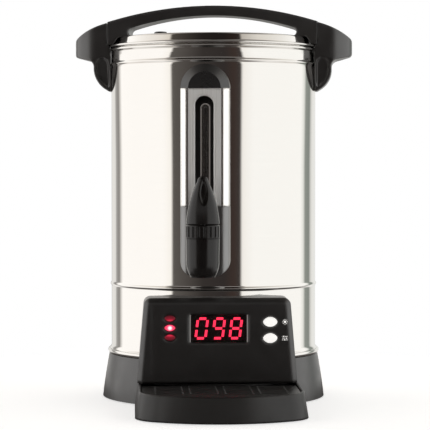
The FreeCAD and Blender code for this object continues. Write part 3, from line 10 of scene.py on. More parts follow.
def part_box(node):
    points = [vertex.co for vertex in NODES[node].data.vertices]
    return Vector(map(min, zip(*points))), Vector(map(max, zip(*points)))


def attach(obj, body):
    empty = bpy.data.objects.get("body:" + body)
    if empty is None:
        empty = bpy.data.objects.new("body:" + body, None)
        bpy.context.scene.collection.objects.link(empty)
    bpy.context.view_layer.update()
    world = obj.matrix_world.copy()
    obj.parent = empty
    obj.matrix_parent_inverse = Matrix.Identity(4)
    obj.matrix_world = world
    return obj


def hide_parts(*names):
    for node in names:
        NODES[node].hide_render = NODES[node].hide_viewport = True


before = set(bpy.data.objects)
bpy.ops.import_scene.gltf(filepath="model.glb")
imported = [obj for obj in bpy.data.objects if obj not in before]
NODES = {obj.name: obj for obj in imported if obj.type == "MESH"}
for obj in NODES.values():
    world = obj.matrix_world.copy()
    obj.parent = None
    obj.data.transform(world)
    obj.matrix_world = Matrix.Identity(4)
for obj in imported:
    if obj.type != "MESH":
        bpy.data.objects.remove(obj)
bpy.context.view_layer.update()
MM = 0.001

# ---------------------------------------------------------------- places, all read from the frame


def middle(node):
    """The middle of a CAD node's box."""
    low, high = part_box(node)
    return (low + high) / 2


def top_mm(node):
    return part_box(node)[1].z / MM


def low_mm(node):
    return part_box(node)[0].z / MM


def half_width_mm(node):
    low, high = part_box(node)
    return (high.x - low.x) / 2 / MM


AXIS = middle("tank_wall")
AXIS.z = 0
TAP_SPOT = middle("tap_collar")
TURN = math.atan2(TAP_SPOT.x - AXIS.x, AXIS.y - TAP_SPOT.y)
TAP_REACH = (TAP_SPOT.xy - AXIS.xy).length / MM
STRAIGHT = Matrix.Translation(AXIS) @ Matrix.Scale(MM, 4)
TURNED = Matrix.Translation(AXIS) @ Matrix.Rotation(TURN, 4, "Z") @ Matrix.Scale(MM, 4)
TAP = TURNED @ Matrix.Translation((0, -TAP_REACH, 0))

# ---------------------------------------------------------------- mesh helpers

SHARP_ANGLE = math.radians(35)


def piece(name, bm, place):
    """A smooth-shaded object from a bmesh drawn in millimetres at a place."""
    bmesh.ops.recalc_face_normals(bm, faces=bm.faces[:])
    bm.transform(place)
    mesh = bpy.data.meshes.new(name)
    bm.to_mesh(mesh)
    bm.free()
    mesh.shade_smooth()
    mesh.set_sharp_from_angle(angle=SHARP_ANGLE)
    obj = bpy.data.objects.new(name, mesh)
    bpy.context.scene.collection.objects.link(obj)
    return obj


def rounded(corners, steps=6):
    """A closed outline through corners, each (x, z) or (x, z, radius), with its radii as arcs."""
    out = []
    for index, corner in enumerate(corners):
        here = Vector(corner[:2])
        if len(corner) < 3:
            out.append(here)
            continue
        before = Vector(corners[index - 1][:2]) - here
        after = Vector(corners[(index + 1) % len(corners)][:2]) - here
        half = before.angle(after) / 2
        reach = min(corner[2] / math.tan(half), before.length * 0.49, after.length * 0.49)
        centre = here + (before.normalized() + after.normalized()).normalized() * (reach / math.cos(half))
        start = here + before.normalized() * reach - centre
        end = here + after.normalized() * reach - centre
        angle = math.atan2(start.x * end.y - start.y * end.x, start.dot(end))
        out += [centre + Matrix.Rotation(angle * k / steps, 2) @ start for k in range(steps + 1)]
    return out


def lathe(name, outline, place, steps):
    """A closed outline of (radius, height) points in millimetres, turned about the local Z axis."""
    bm = bmesh.new()
    rings = []
    for r, z in outline:
        count = steps if r > 1e-4 else 1
        angles = [2 * math.pi * k / count for k in range(count)]
        rings.append([bm.verts.new((r * math.cos(a), r * math.sin(a), z)) for a in angles])
    for one, two in zip(rings, rings[1:] + rings[:1]):
        for k in range(steps):
            after = k + 1
            corners = [one[k % len(one)], one[after % len(one)], two[after % len(two)], two[k % len(two)]]
            corners = list(dict.fromkeys(corners))
            if len(corners) > 2:
                bm.faces.new(corners)
    return piece(name, bm, place)


def evaluated_mesh(obj):
    bpy.context.view_layer.update()
    return bpy.data.meshes.new_from_object(obj.evaluated_get(bpy.context.evaluated_depsgraph_get()))


def soft_copy(name, node, voxel, rounds, hold=None, shape=None):
    """A copy of a CAD node with its edges rounded by a fine remesh and light smoothing.

    hold gives how much each point keeps its place, and shape moves points; both work on arrays of
    local coordinates in millimetres, in the turned group.
    """
    obj = NODES[node].copy()
    obj.data = NODES[node].data.copy()
    obj.name = obj.data.name = name
    for key in list(obj.keys()):
        del obj[key]
    bpy.context.scene.collection.objects.link(obj)
    obj.parent = None
    obj.matrix_world = Matrix.Identity(4)
    remesh = obj.modifiers.new("remesh", "REMESH")
    remesh.mode = "VOXEL"
    remesh.voxel_size = voxel * MM
    remesh.use_smooth_shade = True
    mesh = evaluated_mesh(obj)
    obj.modifiers.clear()
    obj.data = mesh

    points = np.empty(len(mesh.vertices) * 3)
    mesh.vertices.foreach_get("co", points)
    points = points.reshape(-1, 3)
    ends = np.empty(len(mesh.edges) * 2, dtype=np.int64)
    mesh.edges.foreach_get("vertices", ends)
    ends = ends.reshape(-1, 2)
    into, out_of = np.array(TURNED.inverted()), np.array(TURNED)
    local = points @ into[:3, :3].T + into[:3, 3]
    share = np.bincount(ends.ravel(), minlength=len(local))[:, None]
    free = 1.0 if hold is None else 1.0 - hold(local)[:, None]
    for _ in range(rounds):
        total = np.zeros_like(local)
        np.add.at(total, ends[:, 0], local[ends[:, 1]])
        np.add.at(total, ends[:, 1], local[ends[:, 0]])
        local += 0.5 * free * (total / share - local)
    if shape is not None:
        local = shape(local)
    points = local @ out_of[:3, :3].T + out_of[:3, 3]
    mesh.vertices.foreach_set("co", points.ravel())
    mesh.update()
    mesh.shade_smooth()
    mesh.name = name
    return obj


def ramp_up(number, start, end):
    """A smooth step from 0 at start to 1 at end, for arrays."""
    part = np.clip((number - start) / (end - start), 0, 1)
    return part * part * (3 - 2 * part)


def depth_inside(x, z, corners):
    """How far each point lies inside a polygon; negative outside."""
    nearest = np.full(len(x), 1e9)
    inside = np.zeros(len(x), dtype=bool)
    for (x0, z0), (x1, z1) in zip(corners, corners[1:] + corners[:1]):
        dx, dz = x1 - x0, z1 - z0
        along = np.clip(((x - x0) * dx + (z - z0) * dz) / (dx * dx + dz * dz), 0, 1)
        nearest = np.minimum(nearest, np.hypot(x - x0 - along * dx, z - z0 - along * dz))
        crosses = (z0 > z) != (z1 > z)
        inside ^= crosses & (x < x0 + (z - z0) * dx / (dz if dz else 1e-9))
    return np.where(inside, nearest, -nearest)


def crisp(node, width):
    """Small rounds on the edges of a CAD node, by modifiers only."""
    obj = NODES[node]
    weld = obj.modifiers.new("weld", "WELD")
    weld.merge_threshold = 0.000005
    bevel = obj.modifiers.new("round", "BEVEL")
    bevel.width = width * MM
    bevel.segments = 2
    bevel.limit_method = "ANGLE"
    bevel.angle_limit = math.radians(28)
    bevel.use_clamp_overlap = True
    bevel.harden_normals = False
    bevel.miter_outer = "MITER_ARC"
    normals = obj.modifiers.new("normals", "WEIGHTED_NORMAL")
    normals.keep_sharp = False
    normals.weight = 80


def finish_piece(obj, body, slot, *replaced):
    """Give a piece its body and its slot's finish, and hide the nodes it stands for."""
    obj.data.materials.clear()
    obj.data.materials.append(FINISHES[slot])
    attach(obj, body)
    if replaced:
        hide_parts(*replaced)
    return obj


# ---------------------------------------------------------------- finishes


def fill_ramp(node, stops):
    """Give a colour ramp its (position, colour) stops."""
    elements = node.color_ramp.elements
    while len(elements) < len(stops):
        elements.new(0.5)
    for element, (position, colour) in zip(elements, stops):
        element.position = position
        element.color = (*colour, 1)


def maths_node(tree, kind, *inputs):
    """A maths node's output; each input is a number or another node's output."""
    node = tree.nodes.new("ShaderNodeMath")
    node.operation = kind
    for socket, value in zip(node.inputs, inputs):
        if isinstance(value, (int, float)):
            socket.default_value = value
        else:
            tree.links.new(value, socket)
    return node.outputs[0]


class Paint:
    """One material on a Principled shader, with helpers that add procedural detail."""

    def __init__(self, name, roughness=0.4, metallic=0.0, **sockets):
        self.mat = bpy.data.materials.new(name)
        self.mat.use_nodes = True
        self.tree = self.mat.node_tree
        self.shader = self.tree.nodes["Principled BSDF"]
        self.shader.inputs["Roughness"].default_value = roughness
        self.shader.inputs["Metallic"].default_value = metallic
        for key, number in sockets.items():
            self.shader.inputs[key.replace("_", " ")].default_value = number
        self.coords = self.add("ShaderNodeTexCoord").outputs["Object"]

    def add(self, kind, **fields):
        node = self.tree.nodes.new(kind)
        for key, value in fields.items():
            setattr(node, key, value)
        return node

    def wire(self, source, target):
        self.tree.links.new(source, target)

    def maths(self, kind, *inputs):
        return maths_node(self.tree, kind, *inputs)

    def stretch(self, scale):
        """The object's own coordinates, scaled along each axis."""
        node = self.add("ShaderNodeMapping")
        node.inputs["Scale"].default_value = scale
        self.wire(self.coords, node.inputs["Vector"])
        return node.outputs["Vector"]

    def noise(self, scale, detail=2.0, stretch=(1, 1, 1), rough=0.5):
        node = self.add("ShaderNodeTexNoise")
        node.inputs["Scale"].default_value = scale
        node.inputs["Detail"].default_value = detail
        node.inputs["Roughness"].default_value = rough
        self.wire(self.stretch(stretch), node.inputs["Vector"])
        return node.outputs["Fac"]

    def spread(self, fac, low, high, start=0.3, end=0.7):
        """A factor mapped to numbers between low and high."""
        node = self.add("ShaderNodeMapRange")
        node.inputs["From Min"].default_value = start
        node.inputs["From Max"].default_value = end
        node.inputs["To Min"].default_value = low
        node.inputs["To Max"].default_value = high
        self.wire(fac, node.inputs["Value"])
        return node.outputs["Result"]

    def colours(self, fac, *stops):
        """Base colour by a ramp of (position, colour) stops."""
        node = self.add("ShaderNodeValToRGB")
        fill_ramp(node, stops)
        self.wire(fac, node.inputs["Fac"])
        self.wire(node.outputs["Color"], self.shader.inputs["Base Color"])

    def rough(self, fac, low, high):
        self.wire(self.spread(fac, low, high), self.shader.inputs["Roughness"])

    def soft_edge(self, radius):
        """A normal that turns smoothly across edges, within a radius in millimetres."""
        node = self.add("ShaderNodeBevel", samples=8)
        node.inputs["Radius"].default_value = radius * MM
        return node.outputs["Normal"]

    def bump(self, height, strength, distance, before=None):
        node = self.add("ShaderNodeBump")
        node.inputs["Strength"].default_value = strength
        node.inputs["Distance"].default_value = distance
        self.wire(height, node.inputs["Height"])
        if before is not None:
            self.wire(before, node.inputs["Normal"])
        self.wire(node.outputs["Normal"], self.shader.inputs["Normal"])


def tint(colour, factor):
    return tuple(min(1.0, c * factor) for c in colour)


def moulded(name, colour, roughness, grain=900.0, depth=0.00006,
            spec=0.5, blotch=0.12, ior=1.5, soft_edge=0.0):
    """Moulded plastic or rubber: a fine grain, faint blotches in its colour and an uneven sheen.

    soft_edge, in millimetres, is how far the sheen runs round an edge.
    """
    paint = Paint(name, roughness, Specular_IOR_Level=spec, IOR=ior)
    cloud = paint.noise(22, 3)
    paint.colours(cloud, (0.3, tint(colour, 1 - blotch)), (0.7, tint(colour, 1 + blotch)))
    paint.rough(paint.noise(60, 4), roughness - 0.04, roughness + 0.05)
    edge = paint.soft_edge(soft_edge) if soft_edge else None
    paint.bump(paint.noise(grain, 3), 0.35, depth, before=edge)
    return paint.mat


def steel(name, colour, roughness, streak, depth, aniso=0.0, contrast=0.05):
    """Steel with polishing or brushing marks along the stretched axis."""
    paint = Paint(name, roughness, 1.0, Anisotropic=aniso)
    if aniso:
        tangent = paint.add("ShaderNodeTangent", direction_type="RADIAL", axis="Z")
        paint.wire(tangent.outputs["Tangent"], paint.shader.inputs["Tangent"])
    marks = paint.noise(1, 5, streak, 0.6)
    paint.colours(marks, (0.3, tint(colour, 1 - contrast)), (0.7, tint(colour, 1 + contrast)))
    paint.rough(marks, roughness * 0.75, roughness * 1.3)
    paint.bump(marks, 0.5, depth)
    return paint.mat


def glowing(name, dark, bright, strength):
    """A red piece lit from behind, a little cloudy."""
    paint = Paint(name, 0.25)
    cloud = paint.noise(300, 2)
    paint.colours(cloud, (0.3, tint(dark, 0.85)), (0.7, tint(dark, 1.15)))
    glow = paint.add("ShaderNodeValToRGB")
    glow.color_ramp.elements[0].color = (*bright, 1)
    glow.color_ramp.elements[1].color = (*tint(bright, 0.82), 1)
    paint.wire(cloud, glow.inputs["Fac"])
    paint.wire(glow.outputs["Color"], paint.shader.inputs["Emission Color"])
    paint.shader.inputs["Emission Strength"].default_value = strength
    return paint.mat


def lamp_lens_glow(name, dark, stops, strength):
    """A lamp's lens; its glow depends on how far it is, in mm, from the middle lamp's front. On the unlit lenses
    this glow is painted light: the middle lamp's spill, painted on as red emission.
    """
    paint = Paint(name, 0.2)
    paint.colours(paint.noise(300, 2), (0.3, tint(dark, 0.8)), (0.7, tint(dark, 1.2)))
    low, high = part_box("led_lens_middle")
    apart = paint.add("ShaderNodeVectorMath", operation="DISTANCE")
    paint.wire(paint.coords, apart.inputs[0])
    apart.inputs[1].default_value = ((low.x + high.x) / 2, low.y, (low.z + high.z) / 2)
    glow = paint.add("ShaderNodeValToRGB")
    reach = stops[-1][0]
    fill_ramp(glow, [(distance / reach, colour) for distance, colour in stops])
    paint.wire(paint.spread(apart.outputs["Value"], 0, 1, 0, reach * MM), glow.inputs["Fac"])
    paint.wire(glow.outputs["Color"], paint.shader.inputs["Emission Color"])
    paint.shader.inputs["Emission Strength"].default_value = strength
    return paint.mat


def window_pane():
    """Smoked plastic whose left and right cut edges carry a painted highlight: pale colour and a faint emission.
    """
    paint = Paint("smoked_window", 0.05, IOR=1.49)
    low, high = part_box("display_window")
    parts = paint.add("ShaderNodeSeparateXYZ")
    paint.wire(paint.coords, parts.inputs[0])
    apart = paint.maths("ABSOLUTE", paint.maths("SUBTRACT", parts.outputs[0], (low.x + high.x) / 2))
    half = (high.x - low.x) / 2
    # Painted highlight: the pane's left and right edges are painted pale, less clear and faintly glowing.
    edge = paint.spread(apart, 0, 1, half - 0.0013, half - 0.0007)
    paint.colours(edge, (0.0, (0.76, 0.64, 0.64)), (1.0, (0.30, 0.29, 0.28)))
    paint.wire(paint.spread(edge, 1.0, 0.1, 0, 1), paint.shader.inputs["Transmission Weight"])
    paint.shader.inputs["Emission Color"].default_value = (1.0, 0.95, 0.92, 1)
    paint.wire(paint.spread(edge, 0.0, 0.10, 0, 1), paint.shader.inputs["Emission Strength"])
    paint.rough(paint.noise(120, 3), 0.04, 0.07)
    return paint.mat


def tube_glass():
    """Clear glass with a painted highlight: its thick edges and round top are painted pale and faintly glowing,
    as a pale line.
    """
    paint = Paint("sight_glass", 0.05, IOR=1.45)
    low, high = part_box("gauge_tube")
    spot, r = (low + high) / 2, (high.x - low.x) / 2
    maths = paint.maths
    parts = paint.add("ShaderNodeSeparateXYZ")
    paint.wire(paint.coords, parts.inputs[0])
    x, y, z = parts.outputs
    aside = maths("ADD", maths("MULTIPLY", maths("SUBTRACT", x, spot.x), math.cos(TURN)),
                  maths("MULTIPLY", maths("SUBTRACT", y, spot.y), math.sin(TURN)))
    above = maths("MAXIMUM", maths("SUBTRACT", z, high.z - r), 0.0)
    out = maths("SQRT", maths("ADD", maths("MULTIPLY", aside, aside), maths("MULTIPLY", above, above)))
    # Painted highlight: pale colour, less clearness and a faint emission along the tube's sides and round top.
    edge = paint.spread(out, 0, 1, r * 0.88, r * 0.96)
    paint.colours(edge, (0.0, (0.62, 0.58, 0.56)), (1.0, (0.80, 0.79, 0.76)))
    paint.wire(paint.spread(edge, 0.97, 0.25, 0, 1), paint.shader.inputs["Transmission Weight"])
    glow = paint.spread(edge, 0.002, 0.13, 0, 1)
    paint.shader.inputs["Emission Color"].default_value = (1.0, 0.93, 0.88, 1)
    paint.wire(glow, paint.shader.inputs["Emission Strength"])
    paint.rough(paint.noise(160, 2), 0.03, 0.06)
    return paint.mat


def brushed_cover():
    """The gauge cover: brushed up and down on its face, and polished on its side bevels."""
    paint = Paint("brushed_steel", 0.44, 1.0)
    tangent = paint.add("ShaderNodeTangent", direction_type="RADIAL", axis="Z")
    paint.wire(tangent.outputs["Tangent"], paint.shader.inputs["Tangent"])
    low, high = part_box("gauge_cover")
    spot = (low + high) / 2
    flat = GAUGE_FLAT * MM
    aside = paint.add("ShaderNodeVectorMath", operation="DOT_PRODUCT")
    shifted = paint.add("ShaderNodeVectorMath", operation="SUBTRACT")
    paint.wire(paint.coords, shifted.inputs[0])
    shifted.inputs[1].default_value = spot
    paint.wire(shifted.outputs["Vector"], aside.inputs[0])
    aside.inputs[1].default_value = (math.cos(TURN), math.sin(TURN), 0)
    apart = paint.maths("ABSOLUTE", aside.outputs["Value"])
    bevel = paint.spread(apart, 0, 1, flat - 0.0004, flat + 0.0006)
    marks = paint.noise(1, 5, (1500, 1500, 9), 0.7)
    paint.colours(marks, (0.3, (0.76, 0.75, 0.73)), (0.5, (0.98, 0.97, 0.95)), (0.7, (1.0, 1.0, 0.99)))
    paint.wire(paint.spread(bevel, 0.60, 0.16, 0, 1), paint.shader.inputs["Roughness"])
    paint.wire(paint.spread(bevel, 0.92, 0.3, 0, 1), paint.shader.inputs["Anisotropic"])
    paint.bump(marks, 0.25, 0.00001, before=paint.soft_edge(3.5))
    return paint.mat


def key_with_painted_glow(name, colour, strength):
    """A pale key with a painted glow: a faint even emission that lifts it brighter."""
    paint = Paint(name, 0.3)
    cloud = paint.noise(90, 2)
    paint.colours(cloud, (0.3, tint(colour, 0.97)), (0.7, tint(colour, 1.03)))
    # Painted glow: emission on a key that is no lamp.
    paint.shader.inputs["Emission Color"].default_value = (1.0, 0.98, 0.95, 1)
    paint.shader.inputs["Emission Strength"].default_value = strength
    paint.bump(paint.noise(1200, 2), 0.3, 0.00001)
    return paint.mat


GAUGE_FLAT = 16.6  # half the width of the gauge cover's flat face in mm, as in the CAD
WARM_BLACK = (0.0135, 0.0122, 0.0115)
STEEL = (0.80, 0.785, 0.755)

FINISHES = {
    "polished_steel": steel("polished_steel", STEEL, 0.06, (40, 40, 2600), 0.0000004, contrast=0.012),
    "brushed_steel": brushed_cover(),
    "plain_steel": steel("plain_steel", (0.55, 0.55, 0.55), 0.28, (400, 400, 400), 0.00002),
    "screw_steel": steel("screw_steel", (0.62, 0.61, 0.60), 0.22, (600, 600, 600), 0.00001),
    "cast_aluminium": steel("cast_aluminium", (0.62, 0.62, 0.61), 0.45, (500, 500, 500), 0.00008),
    "black_plastic": moulded("black_plastic", WARM_BLACK, 0.32, depth=0.00004, spec=0.95, ior=1.6),
    "column_plastic": moulded("column_plastic", (0.0150, 0.0145, 0.0142), 0.30, depth=0.00004, spec=0.95),
    "tap_plastic": moulded("tap_plastic", (0.0072, 0.0060, 0.0056), 0.22, depth=0.00001, spec=0.4),
    "base_plate_plastic": moulded("base_plate_plastic", (0.03, 0.03, 0.03), 0.55),
    "silicone": moulded("silicone", (0.62, 0.61, 0.58), 0.5, 400, 0.00002, blotch=0.05),
    "foot_rubber": moulded("foot_rubber", (0.022, 0.022, 0.022), 0.7, 1400),
    "sight_glass": tube_glass(),
    "smoked_window": window_pane(),
    "red_display": glowing("red_display", (0.5, 0.02, 0.03), (1.0, 0.035, 0.095), 2.5),
    "display_black": moulded("display_black", (0.012, 0.011, 0.011), 0.5, 1500, 0.00002),
    # Painted light: the unlit lenses get a painted red glow where they lie near the lit middle lamp.
    "lamp_off": lamp_lens_glow("lamp_off", (0.06, 0.008, 0.010), (
        (0, (0.9, 0.03, 0.08)), (7.6, (0.9, 0.03, 0.08)),
        (9.4, (0.30, 0.012, 0.03)), (13, (0.05, 0.006, 0.01)),
    ), 0.7),
    "lamp_on": lamp_lens_glow("lamp_on", (0.4, 0.03, 0.05), (
        (0, (1.0, 0.85, 0.82)), (1.3, (1.0, 0.55, 0.55)), (2.6, (1.0, 0.06, 0.14)), (6, (0.35, 0.01, 0.03)),
    ), 1.6),
    # Painted glow: the keys and the marks beside them get a faint emission.
    "white_key": key_with_painted_glow("white_key", (0.82, 0.81, 0.79), 0.62),
    "circuit_board": moulded("circuit_board", (0.02, 0.12, 0.045), 0.3, 300, 0.00004, blotch=0.3),
    "component_black": moulded("component_black", (0.02, 0.02, 0.02), 0.4),
    "transformer_iron": steel("transformer_iron", (0.25, 0.23, 0.21), 0.5, (30, 30, 1800), 0.0002,
                              contrast=0.25),
    "ceramic_white": moulded("ceramic_white", (0.75, 0.74, 0.70), 0.25, 500, 0.00001, blotch=0.04),
    "inlet_plastic": moulded("inlet_plastic", (0.018, 0.018, 0.018), 0.4),
    "brass_pins": steel("brass_pins", (0.72, 0.62, 0.38), 0.2, (700, 700, 700), 0.00001),
    "live_wire": moulded("live_wire", (0.20, 0.08, 0.025), 0.45, 500),
    "neutral_wire": moulded("neutral_wire", (0.03, 0.08, 0.4), 0.45, 500),
    "earth_wire": moulded("earth_wire", (0.24, 0.42, 0.06), 0.45, 60, blotch=0.5),
    "heater_wire": moulded("heater_wire", (0.62, 0.58, 0.50), 0.8, 1800, 0.0002),
    "panel_wire": moulded("panel_wire", (0.10, 0.10, 0.10), 0.5, 500),
}

for node in NODES.values():
    for slot in node.material_slots:
        slot.material = FINISHES[slot.material.name]
# Three black mouldings whose edges catch the light more softly than the rest.
for name, spec, ior, soft_edge in (("control_housing", 0.8, 1.6, 5), ("drip_tray", 0.5, 1.5, 3),
                                   ("gauge_lower_housing", 1.0, 2.1, 1.5)):
    NODES[name].material_slots[0].material = moulded(
        name + "_plastic", WARM_BLACK, 0.33, depth=0.00004, spec=spec, ior=ior, soft_edge=soft_edge)

# ---------------------------------------------------------------- pressed steel

# In millimetres; the beads, the rim's roll and the sheet's gauge are those of the CAD.
RIM_ROLL = 2.0
TANK_R = half_width_mm("tank_wall") - RIM_ROLL
GAUGE = 0.8
RIM_Z = top_mm("tank_wall")
SKIRT_Z = low_mm("tank_wall")
LOW_BEAD_Z, TOP_BEAD_Z = 122.0, 357.0
BEAD_OUT, BEAD_HALF = 1.2, 2.8


def bead(level, r):
    """A pressed bead's outline, going up: a smooth swell."""
    steps = 12
    points = []
    for k in range(steps + 1):
        t = -1 + 2 * k / steps
        points.append((r + BEAD_OUT * (0.5 + 0.5 * math.cos(math.pi * t)) ** 1.2, level + BEAD_HALF * t))
    return points


def make_tank():
    """The drawn wall with its flared foot, two beads and rolled rim."""
    inner = TANK_R - GAUGE
    foot = [(TANK_R + 1.8, SKIRT_Z), (TANK_R + 1.8, SKIRT_Z + 0.6), (TANK_R + 1.3, SKIRT_Z + 1.2),
            (TANK_R + 0.7, SKIRT_Z + 1.9), (TANK_R + 0.25, SKIRT_Z + 3.0), (TANK_R, SKIRT_Z + 4.4)]
    wall = [(TANK_R, 60 + (LOW_BEAD_Z - BEAD_HALF - 62) * k / 4) for k in range(5)]
    upper = [(TANK_R, 126 + (TOP_BEAD_Z - BEAD_HALF - 128) * k / 10) for k in range(11)]
    roll = [(TANK_R + RIM_ROLL / 2 * (1 - math.cos(math.pi * k / 5)) if k < 5 else TANK_R + RIM_ROLL,
             RIM_Z - 4.6 + 2.4 * k / 5) for k in range(6)]
    quarter = [math.pi / 2 * k / 5 for k in range(1, 6)]
    crown = [(TANK_R + RIM_ROLL * math.cos(a), RIM_Z - 2.2 + 2.2 * math.sin(a)) for a in quarter]
    inside = [(inner, RIM_Z - 0.3), (inner, TOP_BEAD_Z + BEAD_HALF)]
    inside += [(r - GAUGE, z) for r, z in bead(TOP_BEAD_Z, TANK_R)[::-1]]
    inside += [(r - GAUGE, z) for r, z in bead(LOW_BEAD_Z, TANK_R)[::-1]]
    outline = foot + wall + bead(LOW_BEAD_Z, TANK_R) + upper + bead(TOP_BEAD_Z, TANK_R)
    outline += [(TANK_R, RIM_Z - 9)] + roll + crown + inside + [(inner, SKIRT_Z)]
    tank = lathe("tank_wall_drawn", outline, TURNED, 256)
    finish_piece(tank, "root", "polished_steel", "tank_wall")


def make_lid():
    """The pressed lid, with a soft crown edge and a rolled flange."""
    top = top_mm("lid_shell")
    plug_z = low_mm("lid_shell")
    flange_r = half_width_mm("lid_shell")
    flange_z = RIM_Z + 0.6
    crown_r, top_r, plug_r = flange_r - 8, flange_r - 11.5, flange_r - 6.4
    outline = rounded([
        (0, top), (top_r - 14, top), (top_r, top - 0.3, 3.2), (crown_r, flange_z + 2.4, 2.2),
        (flange_r, flange_z + 2.4, 1.15), (flange_r, flange_z, 1.15),
        (plug_r, flange_z), (plug_r, plug_z), (plug_r - GAUGE, plug_z),
        (top_r - GAUGE, top - 1.2, 2.6), (top_r - 14, top - GAUGE), (0, top - GAUGE),
    ], 8)
    finish_piece(lathe("lid_pressed", outline, TURNED, 256), "lid", "polished_steel", "lid_shell")


def make_trim_ring():
    """The polished ring between the tank's foot and the base."""
    low = low_mm("trim_ring")
    out = half_width_mm("trim_ring")
    inner = TANK_R - 6
    outline = rounded([
        (inner, low), (out - 0.6, low, 0.5), (out, low + 2.0, 2.5), (out - 0.5, SKIRT_Z - 0.1, 1.0),
        (inner, SKIRT_Z - 0.1),
    ], 6)
    finish_piece(lathe("trim_ring_rolled", outline, TURNED, 256), "root", "polished_steel", "trim_ring")


def make_sight_tube():
    """The sight glass: a tube with a closed round top."""
    low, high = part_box("gauge_tube")
    r = (high.x - low.x) / 2 / MM
    reach = ((low + high) / 2 - AXIS).xy.length / MM
    place = TURNED @ Matrix.Translation((0, -reach, 0))
    bottom, crown = low_mm("gauge_tube"), top_mm("gauge_tube") - r
    turns = [math.pi / 2 * k / 8 for k in range(9)]
    outline = [(r, bottom)] + [(r * math.cos(a), crown + r * math.sin(a)) for a in turns[:-1]]
    outline += [(0, crown + r)]
    bore = r - 1.2
    outline += [(0, crown + bore)]
    outline += [(bore * math.cos(a), crown + bore * math.sin(a)) for a in turns[-2::-1]]
    outline += [(bore, bottom)]
    finish_piece(lathe("gauge_tube_blown", outline, place, 64), "root", "sight_glass", "gauge_tube")


make_tank()
make_lid()
make_trim_ring()
make_sight_tube()

# ---------------------------------------------------------------- moulded handles and lever

SEAM_R = 115.0
LEG_HOLLOW = [(111.2, 335), (111.2, 357), (112.4, 361), (116, 363.6), (121, 363), (124.2, 359), (124.6, 353),
              (122.6, 345), (119, 338.5), (114.6, 333), (112.4, 332.4)]


def near_seam(local):
    """1 beside the seam between lid grip and ears, fading out below 376 mm."""
    r = np.hypot(local[:, 0], local[:, 1])
    seam = 1 - ramp_up(abs(r - SEAM_R), 1.2, 3.2)
    return seam * ramp_up(local[:, 2], 372, 376)


def hollow_leg(local):
    """A dished hollow with a rounded lip in the front of each leg, and the same behind."""
    depth = ramp_up(depth_inside(abs(local[:, 0]), local[:, 2], LEG_HOLLOW), -0.9, 1.5) * 3.0
    faces = ramp_up(abs(local[:, 1]), 12, 20)
    moved = local.copy()
    moved[:, 1] -= np.sign(local[:, 1]) * depth * faces
    return moved


def thumb_hollow(local):
    """A drop-shaped hollow near the lever's tip, a little to the right of its middle."""
    x, y = local[:, 0], local[:, 1] + TAP_REACH
    aside = np.degrees(np.arctan2(x, -y)) - 9
    r = np.hypot(x, y)
    up = (local[:, 2] - 222) / 12.5
    half = 4.3 - 1.2 * np.clip(up, 0, 1)
    across = np.radians(aside) * r / half
    deep = 1 - ramp_up(np.hypot(across, up), 0.62, 1.12)
    outside = ramp_up(-y, 0, 3)
    moved = local.copy()
    sink = 1.5 * deep * outside / np.maximum(r, 1)
    moved[:, 0] -= x * sink
    moved[:, 1] -= y * sink
    return moved


lid_grip = soft_copy("lid_handle_moulded", "lid_handle", 0.65, 10, near_seam)
finish_piece(lid_grip, "lid", "black_plastic", "lid_handle")
for side in ("left", "right"):
    node = "side_handle_" + side
    ear = soft_copy(node + "_moulded", node, 0.6, 12, near_seam, hollow_leg)
    finish_piece(ear, "root", "black_plastic", node)
lever = soft_copy("tap_lever_moulded", "tap_lever", 0.4, 6, None, thumb_hollow)
finish_piece(lever, "lever", "tap_plastic", "tap_lever")

# ---------------------------------------------------------------- marks beside the keys


def slab(bm, outline, low, high):
    """A thin closed plate with an outline of (x, z) and levels along -Y."""
    back = [bm.verts.new((x, -low, z)) for x, z in outline]
    front = [bm.verts.new((x, -high, z)) for x, z in outline]
    bm.faces.new(back)
    bm.faces.new(front[::-1])
    for k in range(len(outline)):
        n = (k + 1) % len(outline)
        bm.faces.new((back[k], back[n], front[n], front[k]))


def turned_box(x, z, half, high, angle):
    c, s = math.cos(angle), math.sin(angle)
    corners = [(-half, -high, 0.2), (half, -high, 0.2), (half, high, 0.2), (-half, high, 0.2)]
    return [(x + u * c - v * s, z + u * s + v * c) for u, v in rounded(corners, 3)]


def disc(x, z, r, steps=20):
    angles = [math.tau * k / steps for k in range(steps)]
    return [(x + r * math.cos(a), z + r * math.sin(a)) for a in angles]


def key_mark(name, key, build):
    """A raised mark on the panel, to the right of its key."""
    low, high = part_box(key)
    place = Matrix.Translation((high.x + 0.0064, AXIS.y, (low.z + high.z) / 2)) @ Matrix.Scale(MM, 4)
    bm = bmesh.new()
    front = (AXIS.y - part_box("control_housing")[0].y) / MM
    build(bm, front - 0.1, front + 0.12)
    # The mark takes the white key finish, painted glow included.
    finish_piece(piece(name, bm, place), "root", "white_key")


def sun_mark(bm, low, high):
    slab(bm, disc(0, 0, 1.25), low, high)
    for k in range(8):
        angle = math.tau * k / 8
        slab(bm, turned_box(2.4 * math.cos(angle), 2.4 * math.sin(angle), 0.55, 0.24, angle), low, high)


def slider_mark(bm, low, high):
    for z, knob in ((1.8, -1.3), (0.0, 1.4), (-1.8, -0.2)):
        for start, end in ((-3.0, knob - 1.1), (knob + 1.1, 3.0)):
            slab(bm, turned_box((start + end) / 2, z, (end - start) / 2, 0.22, 0), low, high)
        slab(bm, disc(knob, z, 0.62), low, high)


key_mark("light_mark_printed", "light_button", sun_mark)
key_mark("set_mark_printed", "set_button", slider_mark)

# ---------------------------------------------------------------- CAD pieces that keep their shape

for node, width in (("drip_tray", 0.6), ("drip_grille", 0.35), ("base_ring", 0.35),
                    ("gauge_cover", 0.45), ("gauge_top_cap", 0.4), ("gauge_lower_housing", 0.4),
                    ("tap_body", 0.25), ("tap_collar", 0.2), ("lid_vent", 0.2), ("display_window", 0.3)):
    crisp(node, width)

# ---------------------------------------------------------------- studio


